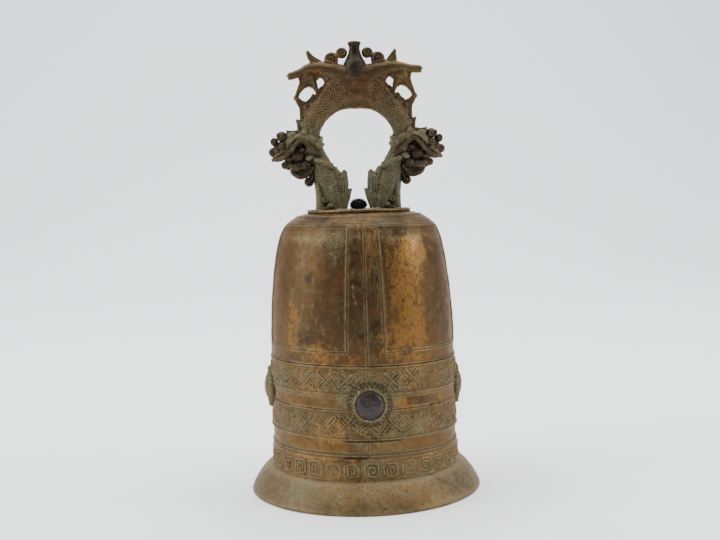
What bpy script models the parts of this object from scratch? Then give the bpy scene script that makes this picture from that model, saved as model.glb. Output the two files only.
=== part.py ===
"""Bronze temple bell with a twin-dragon hanger and a clapper on a cord. Blender 4.5, metres, +Z up.

The bell stands on its mouth at z = 0 with its axis on Z. The dragon arch lies in the XZ plane.
Shapes are given in millimetres and scaled by MM.
"""

import math

import bmesh
import bpy
from mathutils import Matrix, Vector

MM = 0.001
GAP = 0.3  # between neighbouring castings

# Bell body
FOOT_R = 72.0
NECK_R = 58.0  # just above the flared foot
FLARE_H = 16.5
FLARE_POWER = 1.35
BELT_R = 57.8  # the decorated belt
BELT_TOP = 90.4
SHOULDER = ((57.4, 98.0), (56.6, 112.0), (55.5, 125.0), (53.4, 141.5), (51.1, 153.0), (49.0, 159.5),
            (45.6, 165.0), (40.6, 169.2), (36.0, 171.4))  # radius, height
TOP_Z = 172.1
TOP_R = 33.0
WALL = 3.2
ROOF = 3.5
RIDGES = (28.3, 38.6, 55.7, 65.3, 81.4, BELT_TOP)  # heights of the raised lines
RIDGE_H = 0.5
RIDGE_HALF = 0.9
BODY_SIDES = 48

# Crown plate
PLATE_R = 32.1
PLATE_Z = TOP_Z + GAP
PLATE_T = 1.9
CROWN_Z = PLATE_Z + PLATE_T
FOOT_Z = CROWN_Z + GAP  # where the dragons' feet end
CORD_HOLE_R = 2.4

# Striking bosses
BOSS_Z = 61.5
BOSS_R = 8.2
BOSS_RISE = 3.7
ROSETTE_R = 12.4
ROSETTE_T = 1.9
PETALS = 26
SEAT_R = BELT_R + RIDGE_H + GAP  # the bosses sit just clear of the raised lines

# Clapper and cord
CORD_D = 1.8
STEM_R = 1.9
HITCH_R = 3.0
PIVOT_Z = 163.0
CORD_LOW_Z = 80.0
LOOP_R = 4.0
EYE_WIRE_R = 1.3
EYE_R = 4.0
EYE_TOP_Z = CORD_LOW_Z + CORD_D / 2 + GAP + EYE_WIRE_R  # the wire's centre, over the cord's bend
BALL_R = 11.0
BALL_Z = 61.0
SHANK_R = 2.2

# Crown: the vase is (radius, height); the dragon's stations are (x, z, half-width, half-depth), on the
# +X side, and its outlines are (x, z)
VASE = ((4.4, 246.0), (4.4, 250.0), (7.0, 253.0), (7.7, 257.5), (7.7, 261.5), (6.6, 265.5), (4.7, 269.8),
        (4.0, 273.0), (4.0, 275.8), (4.3, 276.4), (4.3, 277.6))
VASE_BORE_R = 2.6
VASE_BORE_H = 9.0
ARCH = ((6.3, 244.2, 7.7, 8.0), (11.5, 242.2, 7.6, 7.8), (18.0, 237.6, 7.4, 7.5),
        (24.2, 231.0, 6.9, 7.0), (28.2, 223.0, 6.3, 6.4), (27.6, 215.0, 5.9, 6.0),
        (24.4, 208.6, 5.6, 6.0))
SADDLE = ((-10.0, 242.8, 7.2, 7.4), (-6.0, 244.3, 7.3, 7.5), (0.0, 244.9, 7.4, 7.6),
          (6.0, 244.3, 7.3, 7.5), (10.0, 242.8, 7.2, 7.4))
FORELEG = ((23.6, 205.6, 6.6, 6.6), (21.4, 198.0, 7.2, 7.4), (18.0, 190.0, 6.8, 7.4),
           (15.2, 182.0, 5.8, 6.6), (13.2, FOOT_Z - 2.0, 5.2, 6.4))
BRACE = ((22.7, FOOT_Z - 2.0, 3.9, 4.6), (24.0, 184.0, 3.2, 3.8), (25.0, 193.0, 2.8, 3.4))
TAIL = ((5.0, 255.0, 5.2, 5.0), (13.0, 259.3, 6.2, 5.4), (21.0, 261.4, 5.0, 4.6),
        (28.5, 260.9, 3.6, 3.6), (35.0, 259.8, 2.1, 2.6), (41.2, 260.0, 1.4, 1.7))
TAIL_HORN = ((23.5, 262.0, 4.4, 3.2), (26.3, 267.0, 2.8, 2.4), (27.9, 272.6, 1.0, 1.2))
TAIL_FIN = ((33.4, 259.0), (26.0, 260.0), (20.0, 257.0), (23.4, 252.0), (24.2, 247.5),
            (26.0, 247.5), (28.9, 250.0), (34.2, 244.2), (36.4, 244.6), (34.2, 252.0))
SPINE_FINS = (
    ((20.0, 240.0), (25.0, 238.0), (26.6, 245.2), (23.4, 244.6)),
    ((27.0, 231.0), (32.5, 232.5), (36.4, 243.0), (33.8, 243.1), (29.0, 239.2), (25.5, 236.5)),
    ((31.0, 223.5), (35.2, 224.5), (36.8, 230.6), (33.6, 230.8), (30.0, 228.5)),
)
LEG_FINS = (
    ((13.5, 200.5), (11.6, 197.8), (8.0, 198.9), (6.9, 188.0), (12.0, 185.0), (17.0, 190.0)),
    ((12.5, 186.9), (4.6, 186.9), (7.8, FOOT_Z - 2.0), (13.0, FOOT_Z - 2.0)),
)
FIN_HALF = 2.0
HEAD_BALLS = (
    ((35.8, 0, 218.2), (7.6, 8.6, 5.0), 22),   # brow
    ((45.5, 0, 211.5), (8.4, 7.0, 4.8), 42),   # muzzle
    ((27.4, 0, 210.0), (6.0, 9.2, 6.4), 0),    # cheek
)
EAR = ((33.0, 219.0), (42.6, 217.5), (43.4, 223.6), (35.8, 223.9))
LIP = ((49.0, 206.4, 1.5, 1.5), (42.2, 212.0, 1.5, 1.5), (36.0, 216.6, 1.6, 1.6),
       (30.4, 213.2, 1.5, 1.5), (24.6, 207.4, 1.5, 1.5))
LIP_SIDE = 7.4
CURLS = (
    ((46.6, 0, 219.4), 4.0), ((51.0, 0, 215.6), 3.9), ((51.8, 0, 209.6), 3.5),
    ((45.8, -5.4, 215.6), 3.7), ((45.8, 5.4, 215.6), 3.7),
    ((49.6, -4.2, 212.8), 3.6), ((49.6, 4.2, 212.8), 3.6),
)
JAW_BALLS = (
    ((37.4, 0, 198.6), (8.2, 6.8, 4.2), -14),  # chin
    ((30.4, 0, 200.6), (5.0, 7.4, 4.6), 20),   # hinge of the jaw
    ((36.6, 0, 204.6), (6.2, 5.0, 6.6), 24),   # palate and tongue
)
BEARD_CURLS = (((30.4, 0, 191.8), 4.6, 5.0), ((43.6, 0, 201.8), 3.3, 4.6))

FINISHES = {  # colour, roughness, metallic
    "aged_bronze": ((0.23, 0.14, 0.06), 0.45, 0.8),
    "green_bronze": ((0.20, 0.18, 0.11), 0.6, 0.6),
    "dark_bronze": ((0.05, 0.035, 0.03), 0.35, 0.8),
    "black_cord": ((0.012, 0.012, 0.015), 0.95, 0.0),
    "iron": ((0.09, 0.08, 0.075), 0.6, 0.8),
}


# ---------------------------------------------------------------- helpers

def clear_scene():
    for obj in list(bpy.data.objects):
        bpy.data.objects.remove(obj, do_unlink=True)


def material(slot):
    found = bpy.data.materials.get(slot)
    if found:
        return found
    colour, roughness, metallic = FINISHES[slot]
    made = bpy.data.materials.new(slot)
    made.use_nodes = True
    shader = made.node_tree.nodes["Principled BSDF"]
    shader.inputs["Base Color"].default_value = (*colour, 1)
    shader.inputs["Roughness"].default_value = roughness
    shader.inputs["Metallic"].default_value = metallic
    return made


def add_object(name, bm, smooth_angle=40):
    """A mesh object from bm, which is in millimetres."""
    bmesh.ops.recalc_face_normals(bm, faces=bm.faces)
    mesh = bpy.data.meshes.new(name)
    bm.to_mesh(mesh)
    bm.free()
    mesh.transform(Matrix.Scale(MM, 4))
    mesh.shade_smooth()
    mesh.set_sharp_from_angle(angle=math.radians(smooth_angle))
    obj = bpy.data.objects.new(name, mesh)
    bpy.context.scene.collection.objects.link(obj)
    return obj


def finish(obj, name, slot):
    obj.name = name
    obj.data.name = name
    obj.data.materials.clear()
    obj.data.materials.append(material(slot))
    return obj


def on_joint(obj, height):
    """Moves obj's origin to the joint at this height on the axis, and leaves its shape in place."""
    obj.data.transform(Matrix.Translation((0, 0, -height * MM)))
    obj.location.z = height * MM
    return obj


def boolean(target, others, operation):
    """Joins others to target, or cuts them from it, and removes them."""
    for other in others:
        modifier = target.modifiers.new("bool", "BOOLEAN")
        modifier.operation = operation
        modifier.solver = "EXACT"
        modifier.object = other
    bpy.context.view_layer.update()
    graph = bpy.context.evaluated_depsgraph_get()
    mesh = bpy.data.meshes.new_from_object(target.evaluated_get(graph), depsgraph=graph)
    target.modifiers.clear()
    target.data = mesh
    for other in others:
        bpy.data.objects.remove(other, do_unlink=True)
    return target


def join(parts):
    return boolean(parts[0], parts[1:], "UNION")


def cut(target, cutters):
    return boolean(target, cutters, "DIFFERENCE")


def mirrored(obj, name):
    """A copy of obj on the other side of the YZ plane."""
    mesh = obj.data.copy()
    mesh.transform(Matrix.Scale(-1, 4, (1, 0, 0)))
    mesh.flip_normals()
    copy = bpy.data.objects.new(name, mesh)
    mesh.name = name
    bpy.context.scene.collection.objects.link(copy)
    return copy


def turned(name, outline, sides, solid=False):
    """A body turned about Z from an outline of (radius, height). The outline is a closed loop; on a
    solid body it is open instead, and a flat face closes each end."""
    bm = bmesh.new()
    rings = []
    for k in range(sides):
        turn = 2 * math.pi * k / sides
        rings.append([bm.verts.new((r * math.cos(turn), r * math.sin(turn), z)) for r, z in outline])
    count = len(outline)
    for k in range(sides):
        here, after = rings[k], rings[(k + 1) % sides]
        for i in range(count - 1 if solid else count):
            j = (i + 1) % count
            bm.faces.new((here[i], here[j], after[j], after[i]))
    if solid:
        bm.faces.new([ring[0] for ring in rings])
        bm.faces.new([ring[-1] for ring in rings])
    return add_object(name, bm)


def catmull(points, steps):
    """A smooth line through points, each a tuple of numbers, with steps pieces between neighbours."""
    ends = [points[0], *points, points[-1]]
    line = []
    for a, b, c, d in zip(ends, ends[1:], ends[2:], ends[3:]):
        for k in range(steps):
            t = k / steps
            line.append(tuple(
                0.5 * (2 * q + (r - p) * t + (2 * p - 5 * q + 4 * r - s) * t * t
                       + (3 * q - p - 3 * r + s) * t ** 3)
                for p, q, r, s in zip(a, b, c, d)
            ))
    line.append(tuple(points[-1]))
    return line


def limb(name, stations, sides=12, steps=2, grown=0.0):
    """A tube whose stations are (x, z, half-width in the XZ plane, half-depth along Y)."""
    line = catmull(stations, steps)
    bm = bmesh.new()
    rings = []
    for i, (x, z, wide, deep) in enumerate(line):
        before, after = line[max(i - 1, 0)], line[min(i + 1, len(line) - 1)]
        along = Vector((after[0] - before[0], 0, after[1] - before[1])).normalized()
        across = Vector((-along.z, 0, along.x))
        rings.append([
            bm.verts.new(Vector((x, 0, z)) + across * (wide + grown) * math.cos(turn)
                         + Vector((0, (deep + grown) * math.sin(turn), 0)))
            for turn in (2 * math.pi * k / sides for k in range(sides))
        ])
    for first, second in zip(rings, rings[1:]):
        for k in range(sides):
            j = (k + 1) % sides
            bm.faces.new((first[k], first[j], second[j], second[k]))
    bm.faces.new(rings[0])
    bm.faces.new(rings[-1])
    return add_object(name, bm)


def ball(name, centre, radii, tilt=0.0, sides=12, rings=8, grown=0.0):
    """An ellipsoid, tilted in the XZ plane by tilt degrees."""
    bm = bmesh.new()
    bmesh.ops.create_uvsphere(bm, u_segments=sides, v_segments=rings, radius=1)
    size = Matrix.Diagonal([r + grown for r in radii]).to_4x4()
    place = Matrix.Translation(centre) @ Matrix.Rotation(math.radians(tilt), 4, "Y")
    bmesh.ops.transform(bm, matrix=place @ size, verts=bm.verts)
    return add_object(name, bm)


def slab(name, outline, half_depth, grown=0.0):
    """A plate with an outline of (x, z), extruded along Y to both sides."""
    bm = bmesh.new()
    middle = Vector((sum(p[0] for p in outline), sum(p[1] for p in outline))) / len(outline)
    corners = []
    for x, z in outline:
        out = (Vector((x, z)) - middle).normalized() * grown
        corners.append(bm.verts.new((x + out.x, -half_depth - grown, z + out.y)))
    face = bm.faces.new(corners)
    made = bmesh.ops.extrude_face_region(bm, geom=[face])
    moved = [v for v in made["geom"] if isinstance(v, bmesh.types.BMVert)]
    bmesh.ops.translate(bm, vec=(0, 2 * (half_depth + grown), 0), verts=moved)
    return add_object(name, bm)


def disc(name, centre, radius, half_depth, sides=16, grown=0.0):
    """A short round bar along Y."""
    bm = bmesh.new()
    bmesh.ops.create_cone(bm, cap_ends=True, segments=sides, radius1=radius + grown,
                          radius2=radius + grown, depth=2 * (half_depth + grown))
    place = Matrix.Translation(centre) @ Matrix.Rotation(math.pi / 2, 4, "X")
    bmesh.ops.transform(bm, matrix=place, verts=bm.verts)
    return add_object(name, bm)


# ---------------------------------------------------------------- bell body

def flare_radius(z):
    share = 1 - (z / FLARE_H) ** FLARE_POWER
    return NECK_R + (FOOT_R - NECK_R) * share ** (1 / FLARE_POWER)


def outer_outline():
    """The outside of the bell from the rim up to the flat top."""
    outline = [(FOOT_R - 0.6, 0), (FOOT_R, 0.8)]
    outline += [(flare_radius(z), z) for z in (2.8, 6.0, 9.5, 12.8, 15.4)]
    outline.append((BELT_R, FLARE_H + 0.2))
    for z in RIDGES:
        outline += [(BELT_R, z - RIDGE_HALF), (BELT_R + RIDGE_H, z), (BELT_R, z + RIDGE_HALF)]
    outline += SHOULDER
    outline.append((TOP_R, TOP_Z))
    return outline


def inner_outline():
    """The inside of the bell from the underside of the roof down to the rim."""
    roof = TOP_Z - ROOF
    outline = [(30.0, roof), (38.6, roof - 2.6)]
    outline += [(r - WALL, z - WALL / 2) for r, z in reversed(SHOULDER[:-2:2])]
    outline += [(BELT_R - WALL, 60), (BELT_R - WALL, 19)]
    outline += [(flare_radius(z) - WALL, z) for z in (12.8, 6.0)]
    outline.append((FOOT_R - WALL, 0))
    return outline


def bell_body():
    outline = outer_outline()
    outline += [(CORD_HOLE_R, TOP_Z), (CORD_HOLE_R, TOP_Z - ROOF)]
    outline += inner_outline()
    body = turned("bell_body", outline, BODY_SIDES)
    return finish(body, "bell_body", "aged_bronze")


def crown_plate():
    chamfer = 0.4
    outline = [
        (CORD_HOLE_R, PLATE_Z), (PLATE_R - 0.8, PLATE_Z), (PLATE_R, PLATE_Z + chamfer),
        (PLATE_R, CROWN_Z - chamfer), (PLATE_R - chamfer, CROWN_Z), (CORD_HOLE_R, CROWN_Z),
    ]
    plate = turned("crown_plate", outline, BODY_SIDES)
    return finish(plate, "crown_plate", "aged_bronze")


# ---------------------------------------------------------------- bosses

def on_belt(across, up, proud):
    """A point over the belt on the -Y side: across and up from a boss's centre, proud of its seat."""
    return Vector((across, -math.sqrt(SEAT_R ** 2 - across ** 2) - proud, BOSS_Z + up))


def round_on_belt(name, rings, sides, notch=1.0):
    """A round body that follows the belt's curve. rings are (radius, proud), and they form a loop unless
    the first and last have radius 0. Every second point of the widest ring is drawn in to notch."""
    bm = bmesh.new()
    widest = max(radius for radius, _ in rings)
    made = []
    for radius, proud in rings:
        loop = []
        for k in range(sides if radius else 1):
            turn = 2 * math.pi * k / sides
            reach = radius * (notch if k % 2 and radius == widest else 1)
            loop.append(bm.verts.new(on_belt(reach * math.cos(turn), reach * math.sin(turn), proud)))
        made.append(loop)
    after = made[1:] if rings[0][0] == 0 else made[1:] + made[:1]
    for first, second in zip(made, after):
        for k in range(sides):
            j = (k + 1) % sides
            corners = [ring[i % len(ring)] for ring, i in ((first, k), (first, j), (second, j), (second, k))]
            bm.faces.new(dict.fromkeys(corners))
    return add_object(name, bm)


def bosses():
    """Four domed striking bosses, each in a petalled rosette, a quarter turn apart."""
    dome = [(0, 0), (BOSS_R / 2, 0), (BOSS_R, 0), (BOSS_R, 1.4)]
    dome += [(BOSS_R * math.cos(a), 1.4 + (BOSS_RISE - 1.4) * math.sin(a))
             for a in (math.radians(30), math.radians(60))]
    dome.append((0, BOSS_RISE))
    inner = BOSS_R + GAP
    ring = [(inner, 0), (ROSETTE_R, 0), (ROSETTE_R - 0.4, ROSETTE_T * 0.7),
            (inner + 1.2, ROSETTE_T), (inner, ROSETTE_T)]
    for turn, side in enumerate(("front", "right", "back", "left")):
        spin = Matrix.Rotation(turn * math.pi / 2, 4, "Z")
        boss = round_on_belt("boss", dome, 24)
        boss.data.transform(spin)
        finish(boss, "striking_boss_" + side, "dark_bronze")
        rosette = round_on_belt("rosette", ring, 2 * PETALS, notch=0.93)
        rosette.data.transform(spin)
        finish(rosette, "boss_rosette_" + side, "green_bronze")


# ---------------------------------------------------------------- dragons

def arch_body(grown=0.0):
    parts = [limb("arch", ARCH, 14, 2, grown)]
    parts += [slab("fin", fin, FIN_HALF, grown) for fin in SPINE_FINS]
    return join(parts)


def tail(grown=0.0):
    parts = [limb("tail", TAIL, 12, 2, grown), limb("horn", TAIL_HORN, 10, 2, grown),
             slab("fin", TAIL_FIN, FIN_HALF, grown)]
    return join(parts)


def head(grown=0.0):
    parts = [ball("skull", centre, radii, tilt, grown=grown) for centre, radii, tilt in HEAD_BALLS]
    parts.append(slab("ear", EAR, 7.0, grown))
    for side in (-1, 1):
        lip = limb("lip", LIP, 8, 2, grown)
        lip.data.transform(Matrix.Translation((0, side * LIP_SIDE * MM, 0)))
        parts.append(lip)
    return join(parts)


def curls(grown=0.0):
    return join([ball("curl", centre, (r, r, r), 0, 10, 7, grown) for centre, r in CURLS])


def jaw(grown=0.0):
    return join([ball("jaw", centre, radii, tilt, grown=grown) for centre, radii, tilt in JAW_BALLS])


def foreleg(grown=0.0):
    parts = [limb("leg", FORELEG, 14, 2, grown)]
    parts += [slab("fin", fin, FIN_HALF + 1.0, grown) for fin in LEG_FINS]
    return join(parts)


def saddle(grown=0.0):
    return limb("saddle", SADDLE, 14, 2, grown)


def vase(grown=0.0):
    """The bottle-shaped finial, with a blind bore down its neck. The grown one has no bore."""
    outline = [(r + grown, z) for r, z in VASE]
    if not grown:
        outline += [(VASE_BORE_R, VASE[-1][1]), (VASE_BORE_R, VASE[-1][1] - VASE_BORE_H)]
    return turned("vase", outline, 20, solid=True)


def cloud_scroll(grown=0.0):
    """Two linked spirals beside the neck of the vase."""
    discs = (((15.2, 0, 267.4), 3.9), ((8.3, 0, 271.6), 3.5), ((11.6, 0, 268.8), 2.2))
    return join([disc("scroll", centre, radius, 3.0, grown=grown) for centre, radius in discs])


def brace(grown=0.0):
    return limb("brace", BRACE, 12, 2, grown)


def beard_curl(which, grown=0.0):
    centre, radius, half = BEARD_CURLS[which]
    return disc("beard", centre, radius, half, 14, grown)


def plate_top():
    """A block from the dragons' feet down, to cut them off flat just above the plate."""
    return slab("plate_top", ((0, FOOT_Z), (PLATE_R, FOOT_Z), (PLATE_R, FOOT_Z - 8), (0, FOOT_Z - 8)), 20)


def dragon_parts():
    """Each sculpted piece of one dragon, cut clear of the pieces that it grows from."""
    yield "dragon_body", "green_bronze", arch_body()
    yield "dragon_tail", "green_bronze", cut(tail(), [arch_body(GAP), saddle(GAP), vase(GAP)])
    yield "cloud_scroll", "aged_bronze", cut(cloud_scroll(), [tail(GAP), vase(GAP)])
    yield "dragon_head", "green_bronze", cut(head(), [arch_body(GAP)])
    yield "nose_curls", "dark_bronze", cut(curls(), [head(GAP)])
    yield "lower_jaw", "dark_bronze", cut(jaw(), [head(GAP), arch_body(GAP)])
    yield "foreleg", "green_bronze", cut(
        foreleg(), [arch_body(GAP), head(GAP), jaw(GAP), plate_top()])
    yield "leg_brace", "green_bronze", cut(
        brace(), [foreleg(GAP), head(GAP), jaw(GAP), plate_top()])
    yield "beard_curl", "dark_bronze", cut(
        beard_curl(0), [foreleg(GAP), jaw(GAP), brace(GAP)])
    yield "chin_curl", "dark_bronze", cut(beard_curl(1), [jaw(GAP), curls(GAP), head(GAP)])


def dragons():
    for name, slot, piece in dragon_parts():
        finish(piece, name + "_right", slot)
        finish(mirrored(piece, name), name + "_left", slot)


def arch_pair():
    """Both dragons' bodies, grown by the gap, to cut other pieces with."""
    right = arch_body(GAP)
    return [right, mirrored(right, "arch")]


def crown_centre():
    """The smooth middle of the arch and the vase that stands on it."""
    middle = cut(saddle(), arch_pair())
    finish(middle, "arch_saddle", "aged_bronze")
    finial = cut(vase(), [saddle(GAP), *arch_pair()])
    finish(finial, "vase_finial", "aged_bronze")


# ---------------------------------------------------------------- clapper

def cord_knot():
    """The knot on the crown plate, and the doubled cord that runs down through the hole."""
    knot = [(3.4, FOOT_Z), (4.9, FOOT_Z + 1.2), (5.2, FOOT_Z + 2.8), (4.4, FOOT_Z + 4.6),
            (2.2, FOOT_Z + 6.0)]
    stem = [(STEM_R, PIVOT_Z + HITCH_R + GAP), (STEM_R, FOOT_Z + 2.0)]
    both = join([turned("knot", knot, 16, solid=True), turned("stem", stem, 12, solid=True)])
    return finish(both, "cord_knot", "black_cord")


def cord_hitch():
    """The hitch under the crown, where the cord bends as the clapper swings."""
    hitch = ball("hitch", (0, 0, PIVOT_Z), (HITCH_R,) * 3)
    finish(hitch, "cord_hitch", "black_cord")
    return on_joint(hitch, PIVOT_Z)


def cord_route():
    """The doubled cord's line: down from the hitch, round the clapper's eye and up again."""
    bend_z = CORD_LOW_Z + LOOP_R
    side = [(1.25, PIVOT_Z - HITCH_R - GAP), (1.5, 148.0), (2.3, 124.0), (3.4, 100.0), (LOOP_R, bend_z)]
    bend = [(LOOP_R * math.cos(a), bend_z - LOOP_R * math.sin(a))
            for a in (math.radians(36 * k) for k in range(1, 5))]
    return side + bend + [(-x, z) for x, z in reversed(side)]


def clapper_cord():
    points = catmull(cord_route(), 4)
    curve = bpy.data.curves.new("clapper_cord", "CURVE")
    curve.dimensions = "3D"
    spline = curve.splines.new("POLY")
    spline.points.add(len(points) - 1)
    for point, (x, z) in zip(spline.points, points):
        point.co = (x * MM, 0, z * MM, 1)
    curve.bevel_depth = CORD_D / 2 * MM
    curve.bevel_resolution = 2
    curve.use_fill_caps = True
    cord = bpy.data.objects.new("clapper_cord", curve)
    bpy.context.scene.collection.objects.link(cord)
    curve.materials.append(material("black_cord"))
    return on_joint(cord, PIVOT_Z)


def clapper():
    """A pear-shaped bob with a ring eye, which hangs on the cord's loop."""
    ring_z = EYE_TOP_Z - EYE_R
    bob = [(BALL_R * math.cos(a), BALL_Z + BALL_R * math.sin(a))
           for a in (math.radians(18 * k) for k in range(-4, 3))]
    bob += [(SHANK_R + 2.0, BALL_Z + BALL_R - 0.6), (SHANK_R, BALL_Z + BALL_R + 1.5),
            (SHANK_R, ring_z - EYE_R)]
    body = turned("bob", bob, 24, solid=True)
    wire = [(EYE_R + EYE_WIRE_R * math.cos(a), EYE_WIRE_R * math.sin(a))
            for a in (2 * math.pi * k / 8 for k in range(8))]
    eye = turned("eye", wire, 20)
    upright = Matrix.Translation((0, 0, ring_z * MM)) @ Matrix.Rotation(math.pi / 2, 4, "Y")
    eye.data.transform(upright)
    finish(join([body, eye]), "clapper", "iron")
    return on_joint(body, EYE_TOP_Z)


def main():
    clear_scene()
    bell_body()
    crown_plate()
    bosses()
    crown_centre()
    dragons()
    cord_knot()
    cord_hitch()
    clapper_cord()
    clapper()


main()
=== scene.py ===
from math import cos, pi, radians, sin, sqrt

import bpy
import numpy as np
from mathutils import Matrix, Vector


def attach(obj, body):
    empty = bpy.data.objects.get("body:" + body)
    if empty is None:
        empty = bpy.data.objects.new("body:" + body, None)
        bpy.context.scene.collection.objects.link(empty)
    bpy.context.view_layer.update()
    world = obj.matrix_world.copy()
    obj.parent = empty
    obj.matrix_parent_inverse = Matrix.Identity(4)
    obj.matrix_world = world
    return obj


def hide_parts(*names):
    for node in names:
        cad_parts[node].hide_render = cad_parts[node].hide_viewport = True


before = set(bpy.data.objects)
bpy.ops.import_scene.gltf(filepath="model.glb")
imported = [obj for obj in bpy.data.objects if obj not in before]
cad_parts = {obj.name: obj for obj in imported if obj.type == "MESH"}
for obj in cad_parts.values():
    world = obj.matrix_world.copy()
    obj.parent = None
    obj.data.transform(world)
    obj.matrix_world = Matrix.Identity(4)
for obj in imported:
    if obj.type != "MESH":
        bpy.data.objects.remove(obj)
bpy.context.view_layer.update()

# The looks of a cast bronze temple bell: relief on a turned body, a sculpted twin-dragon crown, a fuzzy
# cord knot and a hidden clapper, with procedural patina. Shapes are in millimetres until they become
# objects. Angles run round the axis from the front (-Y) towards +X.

MM = 0.001

# ---------------------------------------------------------------- camera and light

CAMERA_REACH = 652.0
CAMERA_HEIGHT = 181.4
CAMERA_TURN = -3.3  # degrees round the axis
CAMERA_DOWN = 4.0
CAMERA_PAN = 0.02
CAMERA_ROLL = -1.6
LENS = 51.95
SENSOR = 36.0
BEHIND_CAMERA = 0.2  # strength of the surrounding light there; it is 1 behind the bell
COOL_WHITE = (0.93, 0.96, 1.0, 1)
PAPER = (-1.6, 2.2, 1.1, 3.2, 3.2)  # start, wall's place, bend's radius, top and half-width, in metres
PAPER_GAP = 0.0002
LIGHTS = (  # name, place, aim, size, power, colour
    ("left_window", (-1.3, -0.25, 0.75), (0, 0, 0.12), (0.9, 1.3), 13.5, (1, 1, 1)),
    ("right_box", (1.17, -0.29, 0.57), (0.03, -0.04, 0.15), (0.18, 0.14), 6.0, (1.0, 0.96, 0.9)),
    ("overhead", (0, 0.55, 1.8), (0, 0.5, 0), (2.8, 2.2), 90, (1, 1, 1)),
)

# ---------------------------------------------------------------- body dimensions

FOOT_R = 72.0
FOOT_TOP = 16.6
FOOT_TOP_R = 59.0
NECK_R = 58.3
FLARE_POWER = 1.35
WALL = 3.2
ROOF = 3.5  # thickness of the wall over the bell's hollow
SKIN = 1.0  # depth of the relief rings, half of it sunk in the wall
SHOULDER_Z = 171.9
CORD_HOLE_R = 2.6
PROFILE = (  # radius, height of the outside above the foot
    (59, 16.6), (58.5, 17.8), (58.3, 19.5), (58.2, 23), (58.2, 27.6), (57.7, 30), (57.4, 32), (57.4, 36),
    (57.4, 38.8), (57.8, 40.8), (57.9, 43), (57.9, 48), (57.8, 54), (57.6, 57.4), (57.4, 60.6), (57.4, 64.6),
    (57.6, 67.4), (57.7, 74), (57.6, 81.4), (57.3, 84.2), (57.3, 91), (57.1, 100), (56.6, 112), (55.5, 125),
    (53.5, 141.5), (51.3, 153), (49.3, 159.5), (46.2, 165), (40.9, 169.2), (36, 171.3), (33, 172),
)
SEAM_PATH = ((30.0, -1.65), (83.0, -0.6), (120.0, -0.85), (160.0, -0.1))  # height, degrees from the front
STRIP_LEFT = (13.2, 11.6)  # degrees from a boss to the panels on its left, at their bottoms and tops
STRIP_RIGHT = (10.4, 9.4)
PANEL_BOTTOM = 92.7
PANEL_TOPS = (164.0, 165.2, 163.6, 165.2)
BELT_TILT = 0.0175  # how much the belts fall for each millimetre towards +X
TILT_IN = (17, 36)  # heights over which the tilt sets in
TILT_OUT = (168, 120)  # heights over which it goes again, from the top down
BANDS = {"lower": (49.3, 7.4), "upper": (75.2, 7.0)}  # middle height, half-height of each petal band
BAND_CELLS = 28
MEANDER_Z = 22.9
MEANDER_CELLS = 32
BELT_LINES = (30.6, 39.9)
BOSS_Z = 61.5
BOSS_WALL_R = 57.9
SIDE_BOSS_LIFT = 2.2
BOSS_SUNK = 0.9  # how far a boss's flat back lies in the wall
SWELL_R = 13.6  # the low dome under a boss
DOME_R = 7.9
ROSETTE_R = 12.4
PETALS = 28
FINE_ROWS = (1.5, 0.28)  # how far from a line the rows are closer together, and how close
FINE_COLUMNS = (1.6 / NECK_R, 0.3 / NECK_R)  # the same for columns, as angles
HOLLOW_DEPTH = 0.12 * MM  # a groove this deep counts as fully hollow


# ---------------------------------------------------------------- numbers

def fade(low, high, x):
    """0 up to low, 1 from high on and smooth between them; the other way round where low is above high."""
    t = np.clip((x - low) / (high - low), 0, 1)
    return t * t * (3 - 2 * t)


def rounded(distance, half, height):
    """A rounded ridge: height on its middle line, nothing from half away on."""
    return height * np.clip(1 - (distance / half) ** 2, 0, 1)


def domed(share):
    """A round dome's height at that share of its radius, from 1 in the middle to 0 at the edge."""
    return np.sqrt(np.clip(1 - share ** 2, 0, 1))


def noise(points, size, seed):
    """Smooth value noise from -1 to 1, whose lumps are size across."""
    place = points / size + seed * 13.7
    base = np.floor(place).astype(np.int64)
    blend = place - base
    blend = blend * blend * (3 - 2 * blend)
    total = np.zeros(len(points))
    for corner in range(8):
        step = np.array([corner & 1, corner >> 1 & 1, corner >> 2 & 1])
        key = base + step
        mixed = (key[:, 0] * 73856093) ^ (key[:, 1] * 19349663) ^ (key[:, 2] * 83492791)
        mixed = (mixed * 2654435761) & 0xFFFFFFFF
        value = ((mixed >> 8) & 0xFFFF) / 32767.5 - 1
        total += np.where(step, blend, 1 - blend).prod(axis=1) * value
    return total


def layered(points, size, seed, layers=3):
    """Several noises together, each half the size and strength of the one before."""
    return sum(noise(points, size / 2 ** k, seed + k) / 2 ** k for k in range(layers))


def catmull(points, steps):
    """A smooth line through points, with steps pieces between neighbours."""
    points = np.asarray(points, float)
    ends = np.vstack([points[:1], points, points[-1:]])
    t = (np.arange(steps) / steps)[:, None]
    line = [
        0.5 * (2 * b + (c - a) * t + (2 * a - 5 * b + 4 * c - d) * t ** 2 + (3 * b - a - 3 * c + d) * t ** 3)
        for a, b, c, d in zip(ends, ends[1:], ends[2:], ends[3:])
    ]
    return np.vstack([*line, points[-1:]])


def run_along(line):
    """How far along a line each of its points lies."""
    return np.concatenate([[0], np.cumsum(np.linalg.norm(np.diff(line, axis=0), axis=1))])


def unit(vectors):
    return vectors / np.linalg.norm(vectors, axis=-1, keepdims=True)


def to_segments(x, y, corners):
    """The distance from each point (x, y) to the nearest piece of a line through corners."""
    nearest = np.full(x.shape, np.inf)
    for (ax, ay), (bx, by) in zip(corners, corners[1:]):
        dx, dy = bx - ax, by - ay
        share = np.clip(((x - ax) * dx + (y - ay) * dy) / (dx * dx + dy * dy), 0, 1)
        nearest = np.minimum(nearest, np.hypot(x - ax - share * dx, y - ay - share * dy))
    return nearest


# ---------------------------------------------------------------- meshes

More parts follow.
